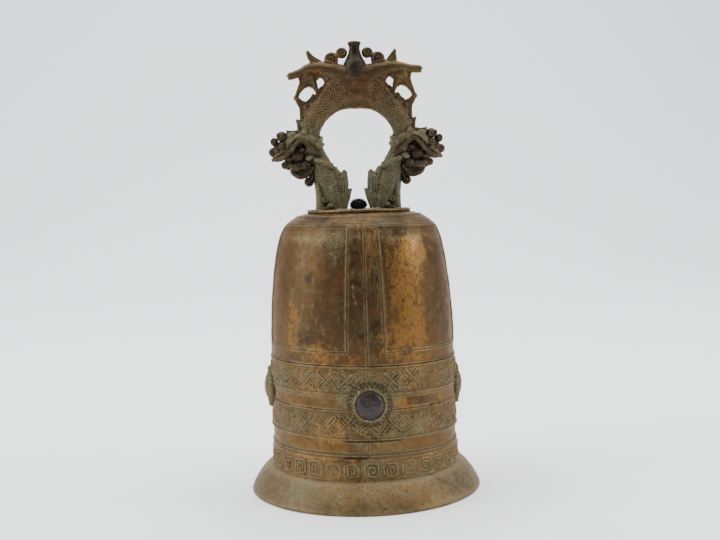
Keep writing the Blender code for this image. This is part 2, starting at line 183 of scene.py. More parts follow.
def place(name, data):
    """Puts a mesh, curve, light or camera in the scene."""
    obj = bpy.data.objects.new(name, data)
    bpy.context.scene.collection.objects.link(obj)
    return obj


def make_object(name, points, faces, body="bell"):
    """An object from points in millimetres, which rides on body."""
    mesh = bpy.data.meshes.new(name)
    mesh.from_pydata((np.asarray(points) * MM).tolist(), [],
                     faces if isinstance(faces, list) else faces.tolist())
    mesh.validate()
    mesh.shade_smooth()
    obj = place(name, mesh)
    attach(obj, body)
    return obj


def wrapped_faces(rows, columns):
    """Faces of a grid that closes on itself both ways."""
    row, column = np.mgrid[0:rows, 0:columns]
    here, above = row * columns, (row + 1) % rows * columns
    right = (column + 1) % columns
    return np.stack([here + column, here + right, above + right, above + column], axis=-1).reshape(-1, 4)


def closed_ends(rows, columns):
    """The first and the last ring of a grid as faces."""
    ring = list(range(columns))
    return [ring, [(rows - 1) * columns + k for k in ring[::-1]]]


def closed_grid(name, points):
    """A ring-shaped object from points given as (row, column, xyz)."""
    return make_object(name, points.reshape(-1, 3), wrapped_faces(*points.shape[:2]))


def vectors_of(items, name):
    """That vector of each of a mesh's items."""
    values = np.empty(len(items) * 3, np.float32)
    items.foreach_get(name, values)
    return values.reshape(-1, 3).astype(float)


def write(mesh, name, values):
    """Stores a number from 0 to 1 for each point, which the materials read by name."""
    attribute = mesh.attributes.new(name, "FLOAT", "POINT")
    attribute.data.foreach_set("value", np.clip(values, 0, 1).astype(np.float32))


def mark_hollows(mesh, rounds):
    """Writes how hollow each point is, from 0 on an edge to 1 in a groove. More rounds look further about."""
    edges = np.empty(len(mesh.edges) * 2, np.int32)
    mesh.edges.foreach_get("vertices", edges)
    first, second = edges.reshape(-1, 2).T
    count = len(mesh.vertices)
    points = vectors_of(mesh.vertices, "co")
    degree = np.bincount(first, minlength=count) + np.bincount(second, minlength=count)
    soft = points
    for _ in range(rounds):
        near = np.stack([
            np.bincount(first, soft[second, k], count) + np.bincount(second, soft[first, k], count)
            for k in range(3)
        ], axis=1)
        soft = 0.3 * soft + 0.7 * near / np.maximum(degree, 1)[:, None]
    hollow = ((soft - points) * vectors_of(mesh.vertex_normals, "vector")).sum(axis=1) / HOLLOW_DEPTH
    write(mesh, "hollow", 0.5 + 0.5 * hollow)


PATINA = {  # angle from the front, height, half-width and half-height of each patch, strength
    "rubbed": ((26, 120, 13, 36, 0.9), (36, 150, 10, 9, 0.8), (-50, 108, 6, 18, 0.6), (-30, 93, 12, 5, 0.5),
               (4, 152, 4, 14, 0.7), (-22, 86, 18, 4, 0.6), (34, 85, 12, 4, 0.4), (-24, 46, 10, 8, 0.9),
               (22, 60, 7, 4, 1.0), (-52, 62, 10, 4, 0.4), (-30, 31, 18, 4, 0.8), (-30, 21, 36, 5, 0.5),
               (10, 96, 5, 10, 0.4), (50, 60, 8, 4, 0.5), (-34, 72, 12, 7, 0.5), (24, 74, 12, 7, 0.5),
               (4, 9, 40, 7, 0.7)),
    "bloomed": ((-24, 154, 13, 9, 0.8), (-66, 72, 14, 9, 0.9), (0, 36, 12, 5, 0.7), (14, 62, 6, 14, 0.7),
                (-12, 68, 8, 12, 0.8), (30, 46, 26, 7, 0.7), (-62, 44, 14, 8, 0.8), (2, 26, 9, 4, 0.9),
                (36, 22, 30, 6, 0.5), (60, 72, 12, 8, 0.6), (0, 12, 89, 8, 0.4), (0, 76, 8, 5, 0.8),
                (-10, 160, 60, 6, 0.3)),
    "stained_and_shaded": ((60, 112, 9, 24, 0.8), (-5, 118, 4, 34, 0.5), (5, 122, 2.5, 30, 0.6), (-34, 98, 14, 5, 0.5),
                (28, 62, 7, 2.5, 1.0), (20, 166, 12, 4, 0.8), (-38, 134, 3, 4, 0.9), (28, 160, 12, 3, 0.6),
                # The patch at 168 mm, 70 degrees wide, is painted shade that darkens the shoulder's top
                # against the overhead light.
                (-10, 168, 70, 4, 0.7), (-16, 60, 9, 3, 0.4), (0, 104, 3, 12, 0.3), (52, 9, 14, 6, 0.6),
                (-20, 5, 16, 4, 0.4)),
}


def mark_patina(mesh):
    """Writes how rubbed, bloomed and stained each point is; the stained patches include a painted shade
    band over the shoulder. The back half repeats the front's patches.
    """
    points = vectors_of(mesh.vertices, "co") / MM
    turn = np.arctan2(points[:, 0], -points[:, 1])
    angle = (np.degrees(turn) + 90) % 180 - 90
    ragged = 1 + 0.45 * layered(points, 7, 91)
    round_boss = np.exp(-(from_boss(turn, points[:, 2]) / (ROSETTE_R + 3)) ** 4)
    for name, spots in PATINA.items():
        level = sum(s * np.exp(-((angle - a) / w) ** 4 - ((points[:, 2] - z) / h) ** 4)
                    for a, z, w, h, s in spots)
        write(mesh, name, (level + round_boss * (name == "bloomed")) * ragged)


def dress(obj, material, slot, *nodes, rounds=0, patina=False):
    """Gives obj its material, marks what the material reads, and hides the CAD nodes that it stands for.
    The slot argument is not used."""
    if rounds:
        mark_hollows(obj.data, rounds)
    if patina:
        mark_patina(obj.data)
    obj.data.materials.clear()
    obj.data.materials.append(material)
    if nodes:
        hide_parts(*nodes)
    return obj


# ---------------------------------------------------------------- body surface

def flare_radius(z):
    share = 1 - np.clip(z / FOOT_TOP, 0, 1) ** FLARE_POWER
    return FOOT_TOP_R + (FOOT_R - FOOT_TOP_R) * share ** (1 / FLARE_POWER)


OUTSIDE = catmull(PROFILE, 12)
OUTSIDE_RUN = run_along(OUTSIDE)


def run_at(z):
    """How far along the outside the height z lies."""
    return np.interp(z, OUTSIDE[:, 1], OUTSIDE_RUN)


def outside(run):
    """Radius, height and the outward normal's two parts at that distance along the outside."""
    radius = np.interp(run, OUTSIDE_RUN, OUTSIDE[:, 0])
    height = np.interp(run, OUTSIDE_RUN, OUTSIDE[:, 1])
    slope_r, slope_z = np.gradient(radius, run), np.gradient(height, run)
    length = np.hypot(slope_r, slope_z)
    return radius, height, slope_z / length, -slope_r / length


def turned(radius, angle, z):
    """Points (x, y, z) at those radii, angles and heights."""
    return np.stack(np.broadcast_arrays(radius * np.sin(angle), -radius * np.cos(angle), z), axis=-1)


def full_turn(count):
    """That many equal steps round a circle."""
    return np.arange(count) * 2 * pi / count


def even_angles(step):
    """Angles about step millimetres apart on the belt."""
    return full_turn(round(2 * pi * NECK_R / step))


def finer(low, high, step, places, half, fine_step):
    """Values from low to high at step, closer together within half of each place."""
    values = [np.arange(low, high, step)]
    values += [np.arange(p - half, p + half, fine_step) for p in places]
    kept = [low]
    for value in np.sort(np.concatenate(values)):
        if value - kept[-1] > fine_step * 0.9 and high - value > fine_step * 0.5:
            kept.append(value)
    return np.array(kept + [high])


def body_ring(name, low, high, step, relief, angles, places=()):
    """A closed ring of the body from height low to high, in rows step apart and closer together at places.
    relief(angle, height, radius) raises its outside along the normal, and its inside lies SKIN behind."""
    run = finer(run_at(low), run_at(high), step, [run_at(p) for p in places], *FINE_ROWS)
    radius, height, out_r, out_z = outside(run)
    angle, z = np.meshgrid(angles, height)
    raised = relief(angle, z, radius[:, None] * np.ones_like(angle))
    r = radius[:, None] + raised * out_r[:, None]
    z = z + raised * out_z[:, None]
    back_r = (radius - SKIN * out_r)[[-1, 0], None] * np.ones_like(angles)
    back_z = (height - SKIN * out_z)[[-1, 0], None] * np.ones_like(angles)
    angle, r, z = np.vstack([angle, angles, angles]), np.vstack([r, back_r]), np.vstack([z, back_z])
    tilt = BELT_TILT * (r * np.sin(angle)) * fade(*TILT_IN, z) * fade(*TILT_OUT, z)
    return closed_grid(name, turned(r, angle, z - tilt))


def surface_noise(angle, z, size, seed, layers):
    """Layered noise over the body's surface."""
    points = turned(NECK_R, angle, z).reshape(-1, 3)
    return layered(points, size, seed, layers).reshape(angle.shape)


def casting(angle, z, strength=0.12):
    """The unevenness of the cast surface."""
    return strength * surface_noise(angle, z, 9, 3, 3)


def wear(angle, z, least):
    """How much of the relief is left, from least to 1, in patches."""
    return least + (1 - least) * fade(-0.55, 0.25, surface_noise(angle, z, 16, 11, 2))


def off_quarter(angle):
    """The angle from the nearest boss."""
    return angle - np.round(angle / (pi / 2)) * (pi / 2)


def from_boss(angle, z):
    """The distance along the surface from the nearest boss's centre."""
    return np.hypot(off_quarter(angle) * NECK_R, z - BOSS_Z)


def seam_ridge(angle, z):
    """The mould's two seams, at the front and back: a doubled ridge."""
    heights, degrees = np.array(SEAM_PATH).T
    turn = angle - np.radians(np.interp(z, heights, degrees))
    across = (turn - np.round(turn / pi) * pi) * NECK_R
    ridges = rounded(across - 0.75, 0.42, 0.3) + rounded(across + 0.75, 0.42, 0.26)
    return ridges - rounded(across, 0.35, 0.2)


def petal_relief(middle, half):
    """A cross of four pointed leaf outlines in each cell of a band, worn away in places."""
    lean = radians(44)
    cell = 2 * pi / BAND_CELLS
    random = np.random.default_rng(round(middle))
    shift = random.uniform(-0.6, 0.6, (2, BAND_CELLS))
    depth = random.uniform(0.5, 1.0, BAND_CELLS)

    def relief(angle, z, radius):
        index = np.round(angle / cell).astype(int)
        which = index % BAND_CELLS
        u = np.abs((angle - index * cell) * radius - shift[0][which])
        v = np.abs(z - middle - shift[1][which])
        along = u * cos(lean) + v * sin(lean)
        across = np.abs(u * sin(lean) - v * cos(lean))
        swell = np.clip(0.7 * np.minimum(along - 0.4, 7.6 - along), 0, 1.15)
        leaf = rounded(across - swell, 0.5, 0.85) * (along > 0.5) * (along < 7.8)
        diamond = rounded(cell * radius / 2 - u + 0.8 * v - 2.4, 0.5, 0.5) * (v < 3)
        from_edge = np.abs(z - middle) - half
        raised = np.maximum(leaf, diamond) * depth[which] * wear(angle, z, 0.1) * fade(0, -0.8, from_edge)
        clear = fade(ROSETTE_R, ROSETTE_R + 1, from_boss(angle, z))
        raised = (raised + 0.28 * surface_noise(angle, z, 2.3, 15, 2)) * clear
        edge = rounded(from_edge - 0.8, 0.5, 0.75)
        return raised + edge + casting(angle, z) + seam_ridge(angle, z) * clear * 0.6

    return relief


def meander_relief(angle, z, radius):
    """A row of rounded square spirals, some of them worn."""
    cell = 2 * pi / MEANDER_CELLS
    index = np.round(angle / cell)
    u = (angle - index * cell) * radius + 0.3 * np.sin(index * 2.7)
    v = z - MEANDER_Z + 0.3 * np.sin(index * 1.9)
    w, t = 4.1, 3.9
    turns = catmull([
        (-w + 0.2, -t + 1.4), (-w, 0), (-w + 0.3, t - 0.8), (0, t), (w - 0.4, t - 0.5), (w, 0),
        (w - 0.4, -t + 0.5), (0, -t), (-w * 0.45, -t + 0.4), (-w * 0.55, -0.6), (-w * 0.4, t * 0.42),
        (w * 0.25, t * 0.45), (w * 0.45, 0), (w * 0.25, -t * 0.38), (0, -t * 0.3), (-0.2, 0.3),
    ], 3)
    spiral = rounded(to_segments(u, v, turns.tolist()), 0.66, 0.66) * wear(angle, z, 0.35)
    raised = spiral + 0.16 * surface_noise(angle, z, 1.9, 16, 2) + seam_ridge(angle, z) * 0.5
    return raised * fade(16.6, 18.4, z) + casting(angle, z)


def plain_relief(lines, cuts=()):
    """A plain belt with raised lines, each (height, half-width, rise), and black cuts under them, each
    (height, first and last degree from the front)."""

    def relief(angle, z, radius):
        raised = sum(rounded(z - line + 0.08 * np.sin(angle * 3 + line), half, rise)
                     for line, half, rise in lines)
        turn = np.degrees((angle + pi) % (2 * pi) - pi)
        for height, first, last in cuts:
            length = fade(first, first + 5, turn) * fade(last, last - 5, turn)
            raised = raised - rounded(z - height, 0.5, 1.1) * length
        return raised + casting(angle, z) + seam_ridge(angle, z) * 0.6

    return relief


def panel_edges(z):
    """The angles of the four panels' left and right sides at each height, and the heights of their tops."""
    share = np.clip((z - PANEL_BOTTOM) / (PANEL_TOPS[0] - PANEL_BOTTOM), 0, 1)
    to_left, to_right = (np.radians(low + (high - low) * share) for low, high in (STRIP_RIGHT, STRIP_LEFT))
    for quarter, top in enumerate(PANEL_TOPS):
        yield quarter * pi / 2 + to_left, (quarter + 1) * pi / 2 - to_right, top


def panel_relief(angle, z, radius):
    """Framed panels: a raised line with a fainter one outside it, over a rough cast ground."""
    raised = casting(angle, z, 0.1) + seam_ridge(angle, z) * fade(168, 160, z)
    turn = angle % (2 * pi)
    waver = 0.1 * surface_noise(angle, z, 7, 5, 1)
    left_over = 0.6 + 0.4 * fade(-0.5, 0.3, surface_noise(angle, z, 13, 6, 2))
    for left, right, top in panel_edges(z):
        side = np.minimum(turn - left, right - turn) * radius
        level = np.minimum(z - PANEL_BOTTOM, (top - z) * 1.25)
        inward = np.minimum(side, level) + waver
        lines = rounded(inward, 0.42, 0.62) + rounded(inward + 1.5, 0.34, 0.22)
        sunk = fade(0.4, 1.6, inward) * 0.12
        raised = raised + (side > -4) * (level > -4) * (lines * left_over - sunk)
    across = off_quarter(angle) * radius
    streaks = noise(np.stack([across.ravel() / 0.9, angle.ravel() * 4, z.ravel() / 9], axis=-1), 1, 21)
    strip = fade(9.5, 7.5, np.abs(across)) * fade(100, 140, z) * fade(168, 160, z)
    raised = raised + 0.22 * strip * streaks.reshape(angle.shape)
    raised = raised - 0.12 * fade(0.6, 1.0, surface_noise(angle, z, 1.9, 31, 2))
    corner = rounded(z - 84.4, 0.55, 0.7) * (0.6 + 0.4 * fade(-0.02, 0.02, np.sin(turn)))
    return raised + corner + rounded(z - 166.6, 0.35, 0.18) + rounded(z - 170.4, 0.35, 0.4)


def panel_columns():
    """Angles for the panel zone, closer together at the panels' sides and the seams."""
    heights = np.linspace(95, 162, 5)
    places = [side for left, right, _ in panel_edges(heights) for side in (left, right)]
    seam = radians(-0.5)
    places.append(np.array([0, pi + seam, 2 * pi + seam]))
    return finer(0.0, 2 * pi - FINE_COLUMNS[1], 0.85 / NECK_R, np.concatenate(places), *FINE_COLUMNS)


def foot(angles):
    """The flared foot at its full thickness, with a rounded rim and a flat base."""
    heights = np.concatenate([[0, 0.25, 0.8, 1.6], np.linspace(2.6, FOOT_TOP - 0.4, 26), [FOOT_TOP]])
    radius = flare_radius(heights)
    radius[:3] = FOOT_R - 0.8, FOOT_R - 0.25, FOOT_R
    slope = np.stack([np.gradient(radius), np.gradient(heights)])
    slope_r, slope_z = (slope / np.hypot(*slope))[:, :, None]
    angle, z = np.meshgrid(angles, heights)
    raised = casting(angle, z, 0.2) * fade(0.3, 3.0, z)
    outer = turned(radius[:, None] + raised * slope_z, angle, z - raised * slope_r)
    inner_z = np.linspace(FOOT_TOP, 0, 14)[:, None]
    inner_r = np.maximum(flare_radius(inner_z) - WALL, NECK_R - WALL - 0.4)
    return closed_grid("bell_foot_cast", np.concatenate([outer, turned(inner_r, angles, inner_z)]))


def wall_core(angles):
    """The shell behind the relief: it shows inside the bell and as the roof under the crown plate."""
    radius, heights, out_r, out_z = outside(np.linspace(0, OUTSIDE_RUN[-1], 60))
    roof_r = (18, CORD_HOLE_R, CORD_HOLE_R, 18)
    roof_z = (SHOULDER_Z, SHOULDER_Z, SHOULDER_Z - ROOF, SHOULDER_Z - ROOF)
    sunk = SKIN / 2
    r = np.concatenate([radius - sunk * out_r, roof_r, (radius - WALL * out_r)[::-1]])
    z = np.concatenate([heights - sunk * out_z, roof_z, (heights - WALL * out_z)[::-1]])
    return closed_grid("bell_wall_cast", turned(r[:, None], angles, z[:, None]))


def bell_body(panels, belts, foot_bronze, inside):
    """The body's pieces, from the foot up. Together they stand for the CAD body."""
    fine, coarse = even_angles(0.3), even_angles(0.8)
    low = plain_relief([(31.1, 0.5, 0.7), (40.4, 0.35, 0.2)], [(30.1, -18, 0), (39.7, -17, 21)])
    high = plain_relief([(58.7, 0.45, 0.45), (65.2, 0.4, 0.3)])
    lower, upper = (petal_relief(*BANDS[name]) for name in ("lower", "upper"))
    dress(foot(even_angles(0.7)), foot_bronze, "aged_bronze", "bell_body", rounds=8, patina=True)
    for name, bottom, top, step, relief, angles, places, material in (
        ("meander_band", FOOT_TOP, 29.4, 0.3, meander_relief, fine, (), belts),
        ("plain_belt_low", 29.4, 40.7, 0.9, low, coarse, BELT_LINES, belts),
        ("petal_band_low", 40.7, 58.0, 0.3, lower, fine, (), belts),
        ("plain_belt_high", 58.0, 66.9, 0.9, high, coarse, (58.7, 65.2), belts),
        ("petal_band_high", 66.9, 83.7, 0.3, upper, fine, (), belts),
        ("panel_shell", 83.7, SHOULDER_Z, 1.1, panel_relief, panel_columns(),
         (84.4, 91.4, PANEL_BOTTOM, 163.6, 164.6, 165.5, 166.6, 170.4), panels),
    ):
        ring = body_ring(name, bottom, top, step, relief, angles, places)
        dress(ring, material, "aged_bronze", rounds=8, patina=True)
    dress(wall_core(even_angles(2.5)), inside, "aged_bronze", rounds=8)


def crown_plate(bronze):
    """The thin round plate on the shoulder, with a raised lip."""
    r, z = catmull([
        (2.6, 172.5), (20, 172.3), (30, 171.9), (31.7, 171.9), (32.2, 172.6), (32.3, 173.5), (31.8, 174.25),
        (30.8, 174.35), (29.8, 174.15), (22, 174.2), (10, 174.2), (3.4, 174.2), (2.6, 173.9),
    ], 4).T[:, :, None]
    angles = even_angles(1.2)
    lumps = 0.08 * surface_noise(*np.meshgrid(angles, z), 5, 41, 3)
    plate = closed_grid("crown_plate_cast", turned(r + lumps, angles, z))
    dress(plate, bronze, "aged_bronze", "crown_plate", rounds=8)


# ---------------------------------------------------------------- bosses

def round_patch(name, radii, sides, rise, lift, turn):
    """A round piece on the belt: rise(radius, angle) above the wall over rings of radii, and a flat back
    sunk a little into the wall. lift is how much higher than the others it sits, and turn its place round
    the bell."""
    angle, radius = np.meshgrid(full_turn(sides), radii)
    proud = np.vstack([rise(radius, angle), np.full((2, sides), -BOSS_SUNK)])
    radius = np.vstack([radius, radius[-1:], radius[:1]])
    angle = np.vstack([angle, angle[:2]])
    across = radius * np.cos(angle)
    reach = np.sqrt(BOSS_WALL_R ** 2 - across ** 2) + proud
    side_x = across * cos(turn) + reach * sin(turn)
    side_y = across * sin(turn) - reach * cos(turn)
    up = BOSS_Z + lift + radius * np.sin(angle) - BELT_TILT * side_x
    return closed_grid(name, np.stack([side_x, side_y, up], axis=-1))


def boss_swell(radius):
    """The low dome that each boss and its petals stand on."""
    return 2.6 * domed(radius / SWELL_R)


def boss_rise(radius, angle):
    """A smooth dome inside a thin raised rim."""
    shape = np.where(radius < DOME_R, 1.9 * domed(radius / DOME_R), rounded(radius - 8.05, 0.3, 0.5))
    return boss_swell(radius) + shape + 0.08 * np.sin(angle * 5 + radius)


def rosette_rise(radius, angle, depth=0.9):
    """A thin collar, with short uneven petals round it and gaps of that depth between them."""
    petal = angle * PETALS / (2 * pi)
    off = (petal - np.round(petal)) * 2
    worn = 0.75 + 0.25 * np.sin(np.round(petal) * 2.3)
    reach = fade(13.0, 12.3, radius) * fade(9.6, 10.2, radius)
    petals = reach * domed(off / 0.95) * (0.6 + 0.6 * fade(10.6, 12.0, radius)) * worn
    gap = fade(0.4, 0.75, np.abs(off)) * fade(9.9, 10.4, radius) * fade(13.2, 12.6, radius)
    return boss_swell(radius) + np.maximum(0.7 * domed(radius - 9), petals) - depth * gap * worn


def worn_rosette_rise(radius, angle):
    return rosette_rise(radius, angle, 0.25)


def bosses(dark, pale, green):
    """The front and back bosses are dark. The ones at the sides are worn and as pale as the body, and sit a
    little higher."""
    dome_radii = [0.02, *np.linspace(0.5, DOME_R, 26), 8.2]
    rosette_radii = np.linspace(8.15, ROSETTE_R + 0.7, 30)
    for quarter, side in enumerate(("front", "right", "back", "left")):
        turn = quarter * pi / 2
        worn = quarter % 2 == 1
        lift = SIDE_BOSS_LIFT * worn
        rise = worn_rosette_rise if worn else rosette_rise
        dome = round_patch("boss_dome_" + side, dome_radii, 72, boss_rise, lift, turn)
        petals = round_patch("petal_rosette_" + side, rosette_radii, PETALS * 16, rise, lift, turn)
        for piece, material, slot, node in (
            (dome, pale if worn else dark, "dark_bronze", "striking_boss_"),
            (petals, pale if worn else green, "green_bronze", "boss_rosette_"),
        ):
            dress(piece, material, slot, node + side, rounds=8, patina=True)


# ---------------------------------------------------------------- clay: shapes that are merged by remeshing

COIL = 8.4  # size of a coiled scale
COIL_STEP = 1.35  # from one of its rings to the next


class Clay:
    """Closed shapes that lie over each other, to be merged into one sculpted surface. Their y counts from
    the middle towards the side that is being built."""

    def __init__(self):
        self.points = []
        self.faces = []
        self.side = 1

    def both_sides(self):
        """Goes through the near side (-1) and the far side (1)."""
        for self.side in (-1, 1):
            yield self.side
        self.side = 1

    def add(self, points, faces):
        start = len(self.points)
        self.points += [tuple(p) for p in points]
        self.faces += [[start + i for i in face] for face in faces]
        return self

    def tube(self, stations, steps=4, sides=14):
        """A tube through stations of (x, y, z, half-width in the XZ plane, half-depth along Y)."""
        line = catmull(np.asarray(stations) * (1, self.side, 1, 1, 1), steps)
        along = unit(np.gradient(line[:, :3], axis=0))
        across = unit(np.cross([0.0, 1.0, 0.0], along))
        deep = np.cross(along, across)
        turn = full_turn(sides)[:, None]
        rings = (line[:, None, :3] + across[:, None] * line[:, None, 3:4] * np.cos(turn)
                 + deep[:, None] * line[:, None, 4:5] * np.sin(turn))
        caps = [end[::-1] for end in closed_ends(len(line), sides)]
        return self.add(rings.reshape(-1, 3), wrapped_faces(len(line), sides)[:-sides].tolist() + caps)

    def bar(self, stations, steps=4, sides=14):
        """A tube in the plane y = 0, through stations of (x, z, half-width, half-depth)."""
        return self.tube([(x, 0, z, wide, deep) for x, z, wide, deep in stations], steps, sides)

    def wire(self, points, thick, steps=4, sides=8):
        """A round tube of one thickness, or one that tapers where thick is a list."""
        thick = np.broadcast_to(thick, len(points))
        return self.tube([(*p, t, t) for p, t in zip(points, thick)], steps, sides)

    def ball(self, centre, radii, tilt=0.0, sides=16):
        """An ellipsoid, or a ball of one radius, tilted in the XZ plane by tilt degrees."""
        rows = sides // 2
        polar = (np.pi * (np.arange(rows) + 0.5) / rows)[:, None]
        turn = full_turn(sides)
        sphere = np.stack(np.broadcast_arrays(np.sin(polar) * np.cos(turn), np.sin(polar) * np.sin(turn),
                                              np.cos(polar)), axis=-1).reshape(-1, 3)
        lean = np.array(Matrix.Rotation(radians(tilt), 3, "Y"))
        points = (sphere * radii) @ lean.T + np.multiply(centre, (1, self.side, 1))
        grid = wrapped_faces(rows, sides)[:-sides, ::-1].tolist()
        return self.add(points, grid + closed_ends(rows, sides))

    def fin(self, outline, half, y=0.0):
        """A plate with an outline of (x, z), half thick on each side of y."""
        count = len(outline)
        points = [(x, y + away, z) for away in (-half, half) for x, z in outline]
        sides = [[k, (k + 1) % count, count + (k + 1) % count, count + k] for k in range(count)]
        faces = [list(range(count))[::-1], list(range(count, 2 * count))] + sides
        area = sum(a[0] * b[1] - b[0] * a[1] for a, b in zip(outline, [*outline[1:], outline[0]]))
        if area > 0:
            faces = [face[::-1] for face in faces]
        return self.add(points, faces)

    def curl(self, centre, radius, half, turns, start, way, thick):
        """A rolled scroll in the XZ plane with an open spiral groove."""
        count = int(14 * turns) + 2
        share = np.arange(count) / (count - 1)
        spin = radians(start) + way * share * turns * 2 * pi
        reach = radius * (1 - thick) * (1 - share * 0.86)
        return self.tube([
            (centre[0] + r * cos(a), centre[1], centre[2] + r * sin(a),
             radius * thick * (1 - 0.35 * s), half * (0.75 + 0.35 * s))
            for r, a, s in zip(reach, spin, share)
        ], 2, 10)


def sculpt(clay, voxel, smooth, lumps, pattern=None):
    """Merges the clay into one mesh in millimetres, softens it, and raises the pattern on it. Returns its
    points and faces."""
    mesh = bpy.data.meshes.new("clay")
    mesh.from_pydata(clay.points, [], clay.faces)
    obj = place("clay", mesh)
    remesh = obj.modifiers.new("remesh", "REMESH")
    remesh.mode = "VOXEL"
    remesh.voxel_size = voxel
    if smooth:
        obj.modifiers.new("smooth", "SMOOTH").iterations = smooth
    bpy.context.view_layer.update()
    graph = bpy.context.evaluated_depsgraph_get()
    merged = bpy.data.meshes.new_from_object(obj.evaluated_get(graph), depsgraph=graph)
    points, normals = vectors_of(merged.vertices, "co"), vectors_of(merged.vertex_normals, "vector")
    raised = lumps * layered(points, 2.4, 51)
    if pattern:
        raised = raised + pattern(points)
    corners = np.empty(len(merged.polygons) * 4, np.int32)
    merged.polygons.foreach_get("vertices", corners)
    bpy.data.objects.remove(obj)
    bpy.data.meshes.remove(merged)
    return points + normals * raised[:, None], corners.reshape(-1, 4)


def cast_single(name, sculpted, material, slot, node, body="bell"):
    return dress(make_object(name, *sculpted, body), material, slot, node, rounds=6)


def cast_pair(node, sculpted, material, slot, shape=None):
    """The right-hand piece and its mirror image on the left, each put through shape where it is given."""
    points, faces = sculpted
    for side, sign in (("right", 1), ("left", -1)):
        placed = points * (sign, 1, 1)
        if shape:
            placed = shape(placed)
        yield cast_single(f"{node}_cast_{side}", (placed, faces[:, ::sign]), material, slot, f"{node}_{side}")


def coiled_scales(stations, keep, depth=0.42):
    """Rings within rings, cut in a loose lattice over a limb that follows stations of (x, z). keep says how
    much of them is left at each point."""
    line = catmull(stations, 10)[:, :2]
    run = run_along(line)
    along = unit(np.gradient(line, axis=0))

    def pattern(points):
        flat = points[:, [0, 2]]
        nearest = np.concatenate([
            np.argmin(((part[:, None] - line[None]) ** 2).sum(axis=-1), axis=1)
            for part in np.array_split(flat, max(1, len(flat) // 20000))
        ])
        off = flat - line[nearest]
        across = off[:, 0] * -along[nearest, 1] + off[:, 1] * along[nearest, 0]
        s = run[nearest] + (off * along[nearest]).sum(axis=1)
        v = np.arctan2(across, np.abs(points[:, 1]) + 0.01) * 7.2
        row = np.round(s / (COIL * 0.87))
        shift = np.where(row % 2, 0.5, 0.0) * COIL + 0.7 * np.sin(row * 5.1)
        column = np.round((v - shift) / COIL)
        off_s = s - (row * COIL * 0.87 + 0.8 * np.sin(row * 3.7 + column * 2.3))
        off_v = v - (shift + column * COIL + 0.8 * np.cos(row * 2.9 + column * 4.1))
        distance = np.hypot(off_s, off_v)
        wave = np.cos(distance * 2 * pi / COIL_STEP - np.arctan2(off_s, off_v) * (row % 2))
        inside = fade(COIL * 0.52, COIL * 0.44, distance)
        worn = fade(-0.9, 0.1, layered(points, 8, 61, 2))
        raised = -depth * fade(0.1, -0.8, wave) * inside * (0.45 + 0.55 * worn)
        return raised * keep(points)

    return pattern


# ---------------------------------------------------------------- dragons (right-hand side)

ARCH = (  # x, z, half-width, half-depth, as in the limbs below
    (4.5, 245, 8.4, 8), (11.5, 243.2, 8, 8), (18.4, 239.2, 7.5, 7.7), (25, 232.2, 6.9, 7.2),
    (28.6, 223.4, 6.2, 6.6), (28.2, 215.2, 6, 6.2), (24.8, 208.4, 5.2, 6), (20.5, 202, 4.6, 5.4),
)
LEG = ((23.6, 206, 5.4, 6), (21.4, 198.4, 6.9, 7.3), (18.2, 190.4, 6.6, 7.2), (15.4, 182.4, 6, 6.6),
       (13.4, 174.6, 5.4, 6.4))
TAIL = ((2, 255, 6, 6.4), (9, 257.4, 6.6, 6.8), (16, 259.6, 5.8, 6.2), (22.5, 261.2, 4.8, 5.6),
        (28.6, 261.4, 3.6, 4.4), (34.6, 260.5, 2.7, 3.4), (41.6, 260.2, 2.3, 2.8))
TAIL_WEB = (  # outline of the cast web that joins the tail to the arch, round its two openings
    (3, 246), (3, 262), (8.5, 263.2), (14, 264), (19.1, 265.2), (23.6, 269.4), (27, 273), (27.6, 268.6),
    (26.6, 264.8), (31, 263.8), (35, 262.3), (40.8, 262), (42.6, 260.6), (40.8, 258.6), (35.2, 258),
    (34.6, 253.6), (35.9, 248.8), (37.9, 243.6), (36, 242.4), (34.6, 246.2), (31.7, 249.4), (28.8, 250.6),
    (26.4, 249.4), (24.3, 246.4), (22.4, 246.4), (23.9, 250.6), (23.9, 254), (21.8, 256), (19.4, 254.9),
    (18.8, 251.8), (19.6, 249.4), (18.6, 243), (12, 243),
)
BACK_FINS = (  # half-thickness and outline of each fin on the arch's back
    (2.0, ((29, 236), (30.8, 241.4), (33.4, 242.4), (36, 245), (38, 243.6), (36.8, 240.6), (35.2, 237.6),
           (35, 230), (31, 228), (27, 233))),
    (2.6, ((17.6, 241), (18.8, 250.2), (21.4, 250.6), (23.8, 248.4), (24.8, 245.6), (26.6, 246.2),
           (28.6, 243.4), (30.8, 241.6), (30, 235), (24, 236))),
    (2.0, ((29.5, 222), (30.6, 231.2), (34.4, 230), (37.9, 231), (37, 227.4), (36.6, 223.4))),
)
LIP = ((51, 206.3), (47.6, 206.8), (44.4, 208.3), (41.4, 211), (38.4, 214.6), (35.3, 217.3), (32, 215.8),
       (29, 212.8), (25.8, 210), (22.6, 208))
LIP_Y = (3.8, 6, 7.4, 8.3, 8.9, 9.2, 9, 8.6, 8, 6.6)


def dragon_body():
    clay = Clay().bar(ARCH, sides=24)
    for half, outline in BACK_FINS:
        clay.fin(outline, half)
        clay.fin([(0.5 * (x + 27), 0.5 * (z + 234)) for x, z in outline], half + 1.8)
    clay.ball((37, 0, 243.8), (1.7, 2.3, 1.8))
    for x, z, lean in ((32.4, 226.5, 60), (30.2, 233.6, 45), (26.6, 238.6, 40)):
        clay.ball((x, 0, z), (3.6, 3.8, 2.4), -lean)
    clay.fin([(22.2, 214), (21.4, 218.6), (22.6, 220.2), (24.5, 218), (24.5, 213)], 3.4)
    return sculpt(clay, 0.26, 2, 0.12, coiled_scales(ARCH, lambda p: fade(35, 32, p[:, 0])))


